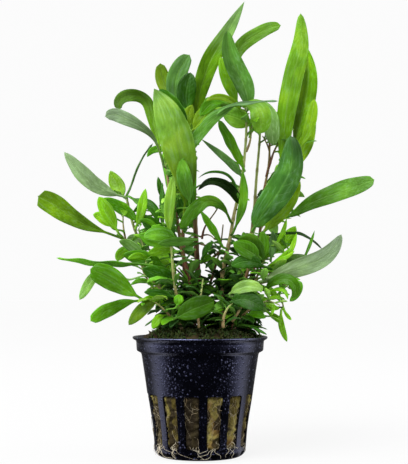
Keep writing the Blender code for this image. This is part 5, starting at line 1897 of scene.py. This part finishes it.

# A leaf: its name, its midrib as across,up,back in mm, its width, turn at foot and tip, widest place, point,
# stalk and fold, its tone and its look. These have a CAD node each, and the small ones below have none.
# In a look, light and sides are painted light and shade, and grey is a painted sheen.
LEAVES = """
left_broad | -31.4,91,-4 -37,93.1,-6 -45,96.1,-9 -53.3,100.6,-12 -59,104.6,-13 -66,108.4,-14 | 9 5 15 0.8
  1.15 0.18 14 | lime | light=0.32,0.4 sides=0.02,-0.04 yellow=0.05,0.2
left_pale | -30.6,108.2,4 -35.7,109.5,5 -41,112,6 -45.1,114.8,7 -49.2,118.8,8 -55.6,126.5,10 | 7 190 195 0.5
  1.5 0.1 8 | pale | light=0.42,0.5 grey=0.1,0.35
left_shaded | -24.2,96.8,1 -28.7,101.3,0 -32.8,104.1,-1 -36.9,106.2,-2 -40.6,107.4,-3 | 5.5 20 30 0.5 1.5
  0.1 12 | green
left_level | -17,79.5,-11 -23.5,80.6,-13 -30.8,80.8,-14 -41,81.2,-14 -49.2,82,-13 -58.4,83.2,-12 | 6.2 68 74
  0.55 1.5 0.12 10 | green
left_lower_broad | -23.4,66.4,-14 -29.5,70.1,-16 -34.4,73.6,-18 -39.4,76.5,-19 -44.7,78.7,-20 | 9.43 5 10
  0.66 1.3 0.1 14 | green | light=0.66,0.52 sides=-0.08,0.04 yellow=0.3,0
left_drooping | -30,74.5,-6 -37,77,-7 -42.8,75.8,-8 -46.2,71.2,-9 -49,66.2,-10 | 4.2 20 0 0.6 1.6 0.2 8 |
  pale
left_lowest | -22.4,66,-6 -30.8,64.8,-9 -34.9,63.1,-11 -38,61.8,-12 -41,60.1,-13 -44.5,57.6,-14 | 5.8 20 15
  0.66 1.2 0.15 10 | green | light=0.66,0.7 sides=-0.06,0.03 yellow=0.2,0.1
left_edge_on | -30,108.8,9 -28.5,112,11 -27.1,116.4,12 -25.4,120.5,13 -23.4,124.5,14 -19.4,130,15 | 3.4 80
  84 0.5 1.5 0.1 12 | green | light=0.34,0.3 grey=0.3,0.6
left_inner_upright | -15,92.5,-2 -15.4,103,-3 -15.4,114,-4 | 6 64 72 0.5 1.5 0.1 12 | dark
front_left_level | -12.8,89.6,-17 -17,89.8,-19 -20.4,91,-20 -25,92.9,-21 | 5.4 10 20 0.5 1.5 0.1 12 | green
left_middle_green | -14.4,79.8,-5 -20,82.6,-7 -26,83.8,-8 -31.4,84.6,-9 | 6.4 20 20 0.5 1.4 0.1 12 | green
left_middle_dark | -8.4,72.6,-11 -14,75.4,-13 -18.4,77.2,-15 -23.6,78.8,-16 | 7.4 0 30 0.5 1.4 0.1 12 | dark
left_low_lime | -16.6,65.6,-14 -21.4,63.9,-19 -25.4,60.3,-22 -29,56,-24 | 5 -5 5 0.5 1.3 0.12 10 | lime |
  light=0.2,0.25 yellow=0.1,0.1
upper_left_arching | -15.2,122.6,-2 -17,128.7,-1 -18.7,136.1,0 -20.3,143.5,0 -22.1,147.6,-1 -25,149.6,-2
  -28.7,150.1,-4 -32,149,-6 -33.6,146.8,-7 -33.4,143.9,-8 | 5.33 15 25 0.7 1 0.08 14 | lime | light=0.46,0.3
  sides=0,-0.05 yellow=0.05,0 grey=0,0.1
upper_left_grey_tip | -14.8,120.5,-8 -16.8,127.5,-9 -19.7,133.2,-11 -23.4,136.5,-13 -27.9,139.2,-14
  -32,141,-15 -35.7,142.1,-15 -38.9,141.2,-15 | 5.74 15 15 0.8 2.2 0.1 14 | pale | light=0.26,0.5
  yellow=0.2,0 grey=0,0.9
front_big | -7,98.4,-12 -6.1,105.4,-15.5 -5.9,111.5,-19.5 -6.4,118.1,-22.5 -7.6,123.8,-24.5 -9,129.6,-25.5
  -10.9,135.7,-26 -13.7,143.1,-25.5 -16.4,148.4,-24 -18.9,152.7,-23 | 13.53 0 10 0.55 1.9 0.12 14 | lime |
  light=0.28,0.42 sides=0.03,-0.03 yellow=0.15,0 grey=0,0.26
upper_left_behind | -6.6,139.4,8 -9.4,146,11 -12.9,152.1,13 -15.4,157.4,14 -16.4,163.2,14 | 6.97 5 10 0.62
  1.1 0.06 14 | lime | light=0.3,0.26 yellow=0.2,0.35
top_left | -4.9,136.9,5 -7.8,143.5,6 -10.2,149.6,6 -10.2,155.4,5 -8.2,161.1,4 -4.3,166.7,2 | 8.2 0 5 0.68
  1.5 0.1 14 | green | light=0.42,0.46 grey=0.3,0.4
tallest | -2.4,136,4 -0.6,149,3 1.9,158.2,2 4.9,165.6,1 8.6,172,0 12.1,177.6,-1 15.3,183.4,-2 18.2,188.8,-3
  | 7.8 0 5 0.44 1.6 0.08 12 | lime | light=0.24,0.5 sides=-0.04,0.04 grey=-0.9,0.65
top_front | 20.1,144.7,-6 18.9,152.1,-9 15.8,159.1,-11 12.7,166,-12 11.5,171.8,-12 11.1,176.7,-12 | 8.2 0 -5
  0.42 0.95 0.05 14 | green | light=0.5,0.4 sides=-0.12,0.12 grey=0.3,0.2
top_right | 18.9,146,1 15.2,154.2,4 13.9,163.2,6 15.6,168.5,7 19.3,172.6,7 23.8,175.5,8 28.7,177.9,8
  33.2,179,8 | 6.15 0 0 0.64 1.1 0.2 14 | lime | light=0.54,0.46 grey=0.1,0.15
top_arching | 16.8,143.9,-6.5 13.5,147.2,-11 9.8,149,-13 5.7,149.2,-14 2.5,147.6,-15 | 2.87 20 10 0.5 1.2
  0.08 14 | lime | light=0.5,0.5 yellow=0.3,0.5
upper_long | -4.6,128,-9 -1.8,134,-14 4.1,140.8,-17 9.8,144.6,-18.5 16.4,146.2,-19 25.4,147.4,-19
  32,147.6,-19 | 5.4 62 72 0.45 1.5 0.08 12 | green | light=0.55,0.45 sides=-0.1,0.1 grey=0,1
upper_drooping | 18.9,144,-1 23,146.4,-3 27,144.4,-5 29,138,-6 30,129.4,-6 | 7.4 30 10 0.6 1.4 0.08 12 |
  pale | light=0.62,0.6 yellow=0.1,0 grey=0,0.1
centre_curled | 16.8,103.7,-8 14.3,109.1,-12 8.6,114,-16 3.3,114.4,-18 -0.8,110.9,-19 | 4.1 10 30 0.35 1 0.1
  14 | dark | light=0.1,0.1
centre_arching | 12.3,98.4,-10 9,104.1,-15 4.1,106.6,-18 -0.8,104.5,-20.5 -4.5,100.4,-21.5 -7.8,95.3,-21.5 |
  5.74 20 30 0.66 1.2 0.1 14 | green | light=0.32,0.36
tall_right | 34,118.1,0 34,124.6,-1 34.4,132,-2 35.5,143.5,-3 37.1,152.5,-4 39.2,161.5,-5 41,169.7,-5
  41.6,177.1,-5 41.4,183.9,-5 | 8.61 0 -10 0.55 1.25 0.03 14 | lime | light=0.44,0.48 sides=0.05,-0.05
  grey=0,0.1
tall_right_behind | 37.4,125.6,18 41,138.2,17 43.4,148.4,15 44.6,158.7,13 43.4,170.4,11 | 8.6 0 10 0.5 1.5
  0.1 12 | lime | light=0.44,0.52 sides=-0.3,0.06 yellow=0.1,0
right_lobed | 32,116.4,23 37.6,122.6,26 42,129.6,28 44.4,137.6,29 45.6,145.6,28 | 8.8 0 -10 0.45 1.2 0.1 12
  | lime | light=0.42,0.46 yellow=0.3,0.1
right_broad_dark | 21.3,94.3,-13 24,99.2,-16 28.7,105.8,-19 33.2,111.9,-20 36.3,118.1,-20 37.5,123.4,-20
  37.7,128.7,-20 36.9,133.2,-19 | 11.27 0 0 0.48 1 0.05 14 | dark | light=0.62,0.48 sides=0.2,-0.08
  grey=0.1,0.2
right_big | 30.6,98.6,-7 37.4,100.8,-8 42.2,103.8,-9 47.2,106.6,-9 53.3,109,-9 59.5,111.4,-9 65.6,113.3,-8
  71.2,115.2,-8 | 7.8 0 5 0.66 1.2 0.1 12 | green | light=0.34,0.5 sides=0.05,-0.03 yellow=0,0.3 grey=0,0.25
right_edge_on | 27,92.4,-3 34.4,93.2,-3 39.8,93.2,-2 44.6,91.2,-1 49.8,86.8,0 | 5 70 80 0.6 1.5 0.1 10 |
  dark | light=0.22,0.22
right_pale | 21.6,73.2,-13 27,74.2,-15 33,76.6,-16 39.8,79.1,-17 45.9,81.2,-17 51.3,84.2,-16 54.9,87.9,-15
  57.6,92.8,-14 | 7.6 180 190 0.52 1.3 0.1 8 | pale | light=0.4,0.34 sides=0.05,-0.02 yellow=0.3,0
  grey=0.15,0.75
right_behind_pale | 24.6,76.4,-5 30,79,-7 36,81.4,-8 44,83.4,-8 | 6.2 10 20 0.55 1.3 0.1 12 | pale |
  light=0.42,0.42 yellow=0.3,0
right_yellow | 27.4,85.6,4 32,88.2,3 35.8,91.4,2 39,96.2,1 | 6 0 20 0.5 1.4 0.1 12 | lime
right_low_round | 26.2,70.1,-13 29.1,73,-17 32.8,74.6,-20 36.9,73.8,-22 38.9,70.5,-22 37.5,66.8,-21 | 4.71
  10 20 0.55 1.2 0.08 14 | green | light=0.26,0.34
front_dark | 24.6,83,-15 20,86.1,-19 13.4,89.4,-21 | 7 0 0 0.5 1.4 0.1 12 | green | light=0.42,0.44
sprig_left | 27.1,61.5,-1 29.1,60.1,-1 31.6,58.4,-2 33.8,56,-2 | 2.67 0 0 0.5 1.3 0.08 14 | lime
sprig_right | 33,61.9,-6 32.8,58.2,-7 33.6,53.7,-8 35.3,49.2,-8 | 2.67 0 0 0.5 1.3 0.08 14 | lime
front_low_round | -9.8,58.8,-22 -4.1,61.9,-26 1.2,64,-28 5.8,65.6,-29 | 8.4 0 0 0.56 1 0.06 8 | green |
  light=0.24,0.14 sides=0,0.06
front_low_pale | 11.9,68.5,-19 15.2,70.5,-22 19.3,71.8,-24 22.5,71.5,-25 25.4,70.5,-25 | 5.12 10 10 0.52 1.1
  0.1 10 | pale | light=0.5,0.52 yellow=0.3,0.4 grey=0,0.1
back_left | -7.4,101,20 -9.6,112,28 -11.6,124,35 -13,136,40 | 10 20 30 0.5 1.4 0.1 14 | green
back_middle | -5,137,21 -4.4,146,31 -2.4,151.4,42 0.6,151,53 | 9.6 0 0 0.5 1.4 0.1 14 | green
back_right | 24,96,24 28,105,34 32,112.4,44 35,116.4,54 | 10 0 0 0.5 1.4 0.1 14 | dark
back_low_left | -10,70,10 -13,78,21 -16,83.4,33 -19,84.6,45 | 9 0 0 0.5 1.3 0.1 14 | lime
back_low_right | 5.6,67,17 9.6,73,28 14,75.4,40 19,73,50 | 9 0 0 0.5 1.3 0.1 14 | green
"""

SMALL_LEAVES = """
left_upright | -31.2,108.2,9 -33.2,111.9,12 -35.3,115.6,14 -36.7,118.9,15 | 6.4 0 15 0.45 1.4 0.06 10 | lime
  | light=0.44,0.5 yellow=0.2,0.2
left_narrow | -33.6,93.9,-8 -36.1,98.4,-9 -38.9,103.7,-10 -41.4,108.2,-10 | 6.08 10 15 0.5 1.25 0.1 10 |
  lime
left_inner_dark | -28.8,108.2,1 -25.4,106.4,-1 -21.3,105,-2 -18.5,102.1,-4 -17,97.6,-5 | 5 20 40 0.5 1.5 0.1
  12 | dark
left_inner_lime | -26.2,95.5,-6 -24.2,101.3,-8 -23.2,106.6,-9 -22.3,111.5,-9 | 4.1 0 20 0.5 1.5 0.08 10 |
  lime
front_left_lime | -9,85.8,-12 -13,86.6,-14 -17,86,-15 -21.4,85.2,-16 | 4.6 20 20 0.5 1.4 0.1 10 | lime
left_middle | -21.4,81.4,-5 -25.4,85.6,-7 -29.4,89,-8 -33,90.2,-10 | 5 30 30 0.5 1.3 0.1 10 | pale
left_low_dark | -10.8,67.4,-17 -14.4,68.5,-19 -18.6,69.1,-20 -22.8,69.3,-21 | 3.6 20 20 0.5 1.5 0.1 10 |
  dark
upper_left_folded | -4.9,136.1,-14 -8.2,141.9,-18 -11.9,147.2,-20 -16.8,152.5,-21 | 5.74 0 0 0.5 1.2 0.1 12
  | dark
top_inner_dark | -4.5,143.1,0 -5.3,146.5,0 -5.7,150,-1 -5.1,154.7,-2 -3.9,159.4,-2 | 8.4 10 10 0.5 1.2 0.08
  12 | dark | light=0.5,0.35 sides=-0.08,0.05
upper_diagonal | 18.2,118.9,-7 15.2,125.5,-9 11.5,132.8,-11 7.6,139.8,-12 | 5.22 40 45 0.55 1.25 0.05 12 |
  green | light=0.44,0.42 yellow=0.1,0
centre_narrow | 9.2,87.8,-11 5.2,95.1,-14 0.2,102.4,-15 | 4.4 50 50 0.5 1.6 0.1 12 | green
centre_upright | 13.4,93.4,-10 17.6,106,-12 17.4,118.8,-12 | 3.9 20 20 0.5 1.6 0.1 12 | green |
  light=0.36,0.44
middle_front | -4.1,105,-21 -4.9,109.1,-24 -6.1,114,-26 -7.4,123.8,-27 | 6.15 0 5 0.5 1.3 0.12 12 | green |
  light=0.46,0.46 grey=0.1,0.1
middle_behind | -3.7,97.6,-8 -4.5,105.4,-9 -4.9,115.6,-10 -4.1,124.6,-10 -3.3,130.8,-9 | 6.95 0 0 0.5 1.25
  0.06 10 | green
upper_olive | -3.7,136.5,-2 -4.5,139.8,-4 -4.3,143.1,-5 -3.1,146,-6 | 4.78 10 10 0.5 1.45 0.1 10 | lime |
  light=0.46,0.5 yellow=0.4,0.6
upper_mid_lime | -3.3,135.3,-3 -0.4,138.6,-6 2.3,142.3,-8 4.5,146.8,-9 | 7.39 5 10 0.5 1.45 0.08 10 | lime |
  light=0.5,0.55 yellow=0.5,0.2
upper_mid_green | -2,140.6,6 1.2,144.3,7 4.9,147,8 9,145.1,9 | 5.65 10 10 0.5 1.45 0.08 10 | green
upper_thin_grey | 17.2,116.4,-11 12.3,122.2,-13 6.1,127.5,-14 0.4,132,-14 | 3.28 20 20 0.3 1.3 0.05 10 |
  green | light=0.4,0.34 grey=0.4,0.5
upper_striped | 20.5,137.3,-1 16.8,139.8,-4 13.1,141.4,-6 9.4,142.3,-7 | 8.26 10 10 0.5 1.25 0.06 10 | lime
  | light=0.56,0.62 grey=0.1,0.2
between_stems | 20.3,132.8,2 21.7,137.8,2 23,142.3,1 25.4,146.4,0 | 3.69 10 10 0.5 1.2 0.1 10 | lime
drooping_front | 17.6,145.5,-6 20.9,146,-9 23.8,144.3,-11 25,140.2,-12 24.2,134.1,-12 | 8.69 0 0 0.6 1.45
  0.06 10 | lime | light=0.4,0.48 grey=0.1,0.1
curled_edge | 15.6,108.6,-12 13.9,114,-14 10.7,117.5,-16 5.7,118.5,-17 2,117.7,-18 -0.6,116,-18 | 1.3 30 60
  0.4 1.25 0.08 10 | dark
pale_upright | -11.9,91,-16 -12.7,99.2,-18 -12.1,108.2,-18 -10.7,117.3,-17 | 4.78 10 20 0.5 1.45 0.12 10 |
  lime | light=0.42,0.42 yellow=0.2,0 grey=0.1,0.2
inner_dark_upright | -4.1,95.9,-6 -6.6,101.3,-8 -8.2,107.4,-9 | 5.22 10 10 0.5 1.45 0.1 10 | dark
left_round_grey | -20.1,86.1,2 -23.4,88.4,2 -27.1,90.2,3 -30.1,90.6,3 | 6.52 5 5 0.55 1.25 0.08 8 | pale |
  light=0.4,0.42 grey=0.2,0.2
left_turned_down | -28.3,88.1,5 -30.5,86.5,4 -32.6,84.5,3 -33.8,82,2 | 4.35 5 5 0.5 1.25 0.1 8 | lime
left_light_oval | -9.4,91,-16 -13.9,92.7,-19 -18.4,93.1,-21 -23,91.6,-22 | 6.08 5 0 0.5 1.25 0.08 8 | green
  | light=0.5,0.62 grey=0,0.1
left_low_light | -10.7,88.6,-12 -13.9,87.7,-14 -17.2,86.5,-15 -20.3,84.9,-16 | 4.35 10 5 0.5 1.45 0.08 8 |
  lime
left_level_front | -1.2,90.6,-18 -6.6,90,-22 -11.9,89.6,-24 -17.2,89,-25 | 3.69 10 10 0.5 1.25 0.1 10 |
  green | light=0.32,0.36 grey=0.1,0.1
left_broad_shade | -13.5,91.8,-4 -17.2,94.9,-6 -20.9,97.8,-7 -23.8,100.9,-8 | 6.08 5 10 0.5 1.45 0.08 10 |
  dark
pale_front_edge | -10.2,91,-13 -11.3,96.8,-15 -10.2,102.9,-16 | 2.46 20 30 0.5 1.2 0.1 10 | dark
right_mass_upper | 25.4,82,-12 23,86.5,-15 20.1,89.4,-17 15.6,90.8,-19 | 7.39 5 5 0.5 1.25 0.08 10 | green |
  light=0.2,0.28
right_mass_lower | 25.8,79.9,-14 21.7,81.6,-17 17.6,81.8,-19 12.7,79.9,-21 | 5.65 10 5 0.5 1.25 0.08 10 |
  dark
right_mass_side | 23.4,78.7,-10 24.6,84,-12 25.8,89,-13 25.4,94.3,-14 | 5.22 5 5 0.5 1.45 0.1 10 | green |
  light=0.32,0.4
centre_small_dark | 0.8,82.8,-6 2.7,86.9,-8 5.3,90,-9 | 3.04 20 30 0.5 1.45 0.1 10 | dark
centre_small_lime | 0,81.2,-4 2.5,83.2,-5 4.9,83,-6 | 3.48 10 10 0.5 1.45 0.1 10 | green
low_left_olive | -13.1,63.5,-10 -16.8,65.6,-13 -20.5,66.8,-15 -23.4,66.4,-16 | 3.04 10 10 0.5 1.45 0.1 8 |
  lime
low_left_tip | -14.3,59.9,-14 -17.2,58.2,-18 -19.3,54.5,-20 | 3.48 5 5 0.55 1.45 0.1 8 | lime
low_round_small | -9.4,63.5,-20 -8.8,66,-21 -8.2,68.3,-21 | 3.91 5 5 0.55 1.25 0.1 8 | green
low_right_broad | 12.3,65.2,-20 17.2,66.6,-23 21.7,65.2,-25 25.8,62.3,-26 | 7.39 10 10 0.5 1.25 0.06 8 |
  dark | light=0.34,0.36
low_right_olive | 19.3,60.3,-16 22.5,60.7,-19 26.6,58.8,-21 | 3.48 10 10 0.5 1.45 0.08 8 | green
low_right_thin | 20.5,55.3,-16 23.8,53.9,-20 27.1,52.1,-22 | 1.23 20 20 0.5 1.2 0.1 8 | dark
right_hanging_tip | 37.7,73.4,-16 40.6,73,-18 39.8,69.3,-19 36.5,65.6,-19 | 2.83 10 10 0.6 1.45 0.1 8 |
  green
right_olive_small | 24.2,68.1,-8 27.1,65.6,-10 29.9,63.1,-11 32.4,62.7,-11 | 3.04 10 10 0.5 1.45 0.1 8 |
  lime
right_olive_upper | 25.4,71.3,-8 28.3,70.5,-10 30.7,68.1,-11 32.8,67.2,-11 | 2.61 10 10 0.5 1.45 0.1 8 |
  lime
right_yellow_strip | 25.8,82,-2 29.9,86.1,-3 33.2,89.8,-4 34.9,93.5,-5 | 3.04 10 10 0.5 1.45 0.1 8 | lime
right_low_strip | 23.8,76.3,-6 27.9,79.1,-8 32,82,-10 36.1,86.9,-11 | 2.61 10 10 0.5 1.45 0.1 8 | lime
right_green_back | 25.4,83.6,6 27.9,88.1,6 30.7,91,5 33.2,91.8,4 | 4.35 10 10 0.5 1.45 0.1 8 | green
sprig_brown | 33.6,63.1,-5 35.1,60.3,-6 37.1,58,-7 | 1.47 10 10 0.6 1.45 0.1 8 | lime
upper_left_dark_small | -12.3,127.1,2 -16.4,127.9,4 -19.7,127.1,5 -21.7,124.6,5 | 3.04 10 20 0.5 1.45 0.1 8
  | green
left_of_red_stem | -13.1,105.4,2 -15.2,108.6,1 -16.4,112.3,0 -17.2,116.4,0 | 2.61 10 20 0.5 1.45 0.1 8 |
  dark
top_front_behind | 15.6,146,-3 12.7,152.9,-5 10.2,159.9,-6 8.2,166,-6 | 5.65 0 0 0.5 1.45 0.06 10 | lime |
  light=0.4,0.5
left_narrow_side | -35.7,95.5,-6 -38.9,98.8,-6 -41.4,100.4,-6 -43.7,100.9,-6 | 4.35 5 5 0.5 1.25 0.1 8 |
  lime
top_arching_shade | 10.7,146.8,-8 6.6,147.2,-9 2.9,145.1,-10 0,141.4,-10 | 5.22 10 10 0.5 1.45 0.08 10 |
  green
right_yellow_band | 25.8,93.5,-10 30.7,99.2,-13 36.1,106.2,-15 41,114.4,-16 | 6.52 5 5 0.5 1.45 0.06 12 |
  lime | light=0.5,0.5 sides=0.06,-0.06 yellow=0.25,0.2
right_teal_upright | 28.7,82,-9 29.5,86.9,-9 29.9,91,-8 29.5,94.3,-8 | 3.48 5 5 0.5 1.45 0.08 8 | green |
  light=0.45,0.45 grey=0.4,0.5
upper_crossing | -7.6,122.2,-24 -4.1,128.3,-25 0.4,134.9,-23 6.1,140.6,-20 14.3,145.5,-17 | 4.71 0 0 0.42
  1.5 0.06 10 | green | light=0.4,0.46 grey=0.1,0.2
right_mid_lobe | 41,127.9,1 43.5,133.7,0 45.7,141,-1 46.9,148.4,-2 | 4.92 0 0 0.55 1.3 0.06 12 | lime |
  light=0.46,0.5 yellow=0.2,0.1
right_thin_one | 34.4,82,-9 36.5,85.3,-11 38.1,89,-12 39.4,93.5,-12 | 2.05 0 20 0.5 1.6 0.08 10 | lime
right_thin_two | 27.9,79.5,-8 31.6,82,-11 35.3,83.6,-13 38.5,86.1,-14 | 2.05 10 20 0.5 1.5 0.08 10 | lime
right_thin_three | 41.8,82,-6 43.9,86.5,-6 45.5,90.6,-5 46.7,94.3,-5 | 1.39 10 20 0.5 1.6 0.08 10 | green
right_thin_four | 30.7,88.6,-10 32.8,91.8,-12 34.4,95.5,-13 35.3,99.2,-13 | 1.89 0 10 0.5 1.6 0.08 10 | lime
right_thin_five | 25.4,66.4,-14 27.9,65.2,-17 29.5,62.7,-19 29.1,59.9,-20 | 2.05 10 10 0.5 1.4 0.08 10 |
  lime
right_thin_six | 28.7,69.7,-15 31.6,70.5,-18 34.4,69.7,-20 35.7,66.4,-21 | 1.8 10 10 0.5 1.4 0.08 10 | lime
left_thin_one | -20.5,82,-6 -23.4,83.6,-9 -26.2,84,-11 -29.5,82.8,-12 | 3.07 10 10 0.5 1.4 0.08 10 | lime
left_thin_two | -17.2,86.9,-8 -20.1,89.8,-10 -23.4,91.8,-12 -27.1,92.7,-12 | 2.05 10 20 0.5 1.5 0.08 10 |
  lime
left_thin_three | -13.9,89.4,-10 -12.7,93.1,-12 -12.3,96.8,-13 -13.1,100.9,-13 | 2.05 10 20 0.5 1.6 0.08 10
  | lime
left_thin_four | -19.7,72.6,-14 -22.5,73.8,-17 -25.4,73.8,-19 -28.3,72.2,-20 | 2.05 10 20 0.5 1.4 0.08 10 |
  green
left_thin_five | -16.4,94.3,-6 -18.9,96.8,-8 -21.7,98.4,-9 -25,98.8,-10 | 2.21 10 20 0.5 1.4 0.08 10 | green
"""


def main() -> None:
    """Builds the studio, the pot, the plug, the stems and the leaves in order."""
    logging.basicConfig(level=logging.INFO, format="%(name)s: %(message)s")
    Studio().build()
    grain, veins, colours = grain_group(), vein_group(), leaf_colour_group()
    tones = {finish.tone: finish.material(colours, veins, grain) for finish in LEAF_FINISHES}
    woods = {finish.wood: finish.material(grain) for finish in STEM_FINISHES}
    pot = NetPot()
    pot.build(PotFinish(), grain)
    RockwoolPlug(pot).build(*(finish.material(grain) for finish in (WoolFinish(), ROOTS, MOSS)))
    stems, twigs = (tuple(Stem.read(*row) for row in table(text)) for text in (STEMS, TWIGS))
    for stem in stems + twigs:
        stem.build(woods)
    leaves, small = ([Leaf.read(*row) for row in table(text)] for text in (LEAVES, SMALL_LEAVES))
    Foliage(stems, twigs, tones).build(leaves, small)
    boxes = {name: [list(corner) for corner in box] for name, box in (("cad", CAD_BOX), ("visual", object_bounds()))}


if __name__ == "__main__":
    main()
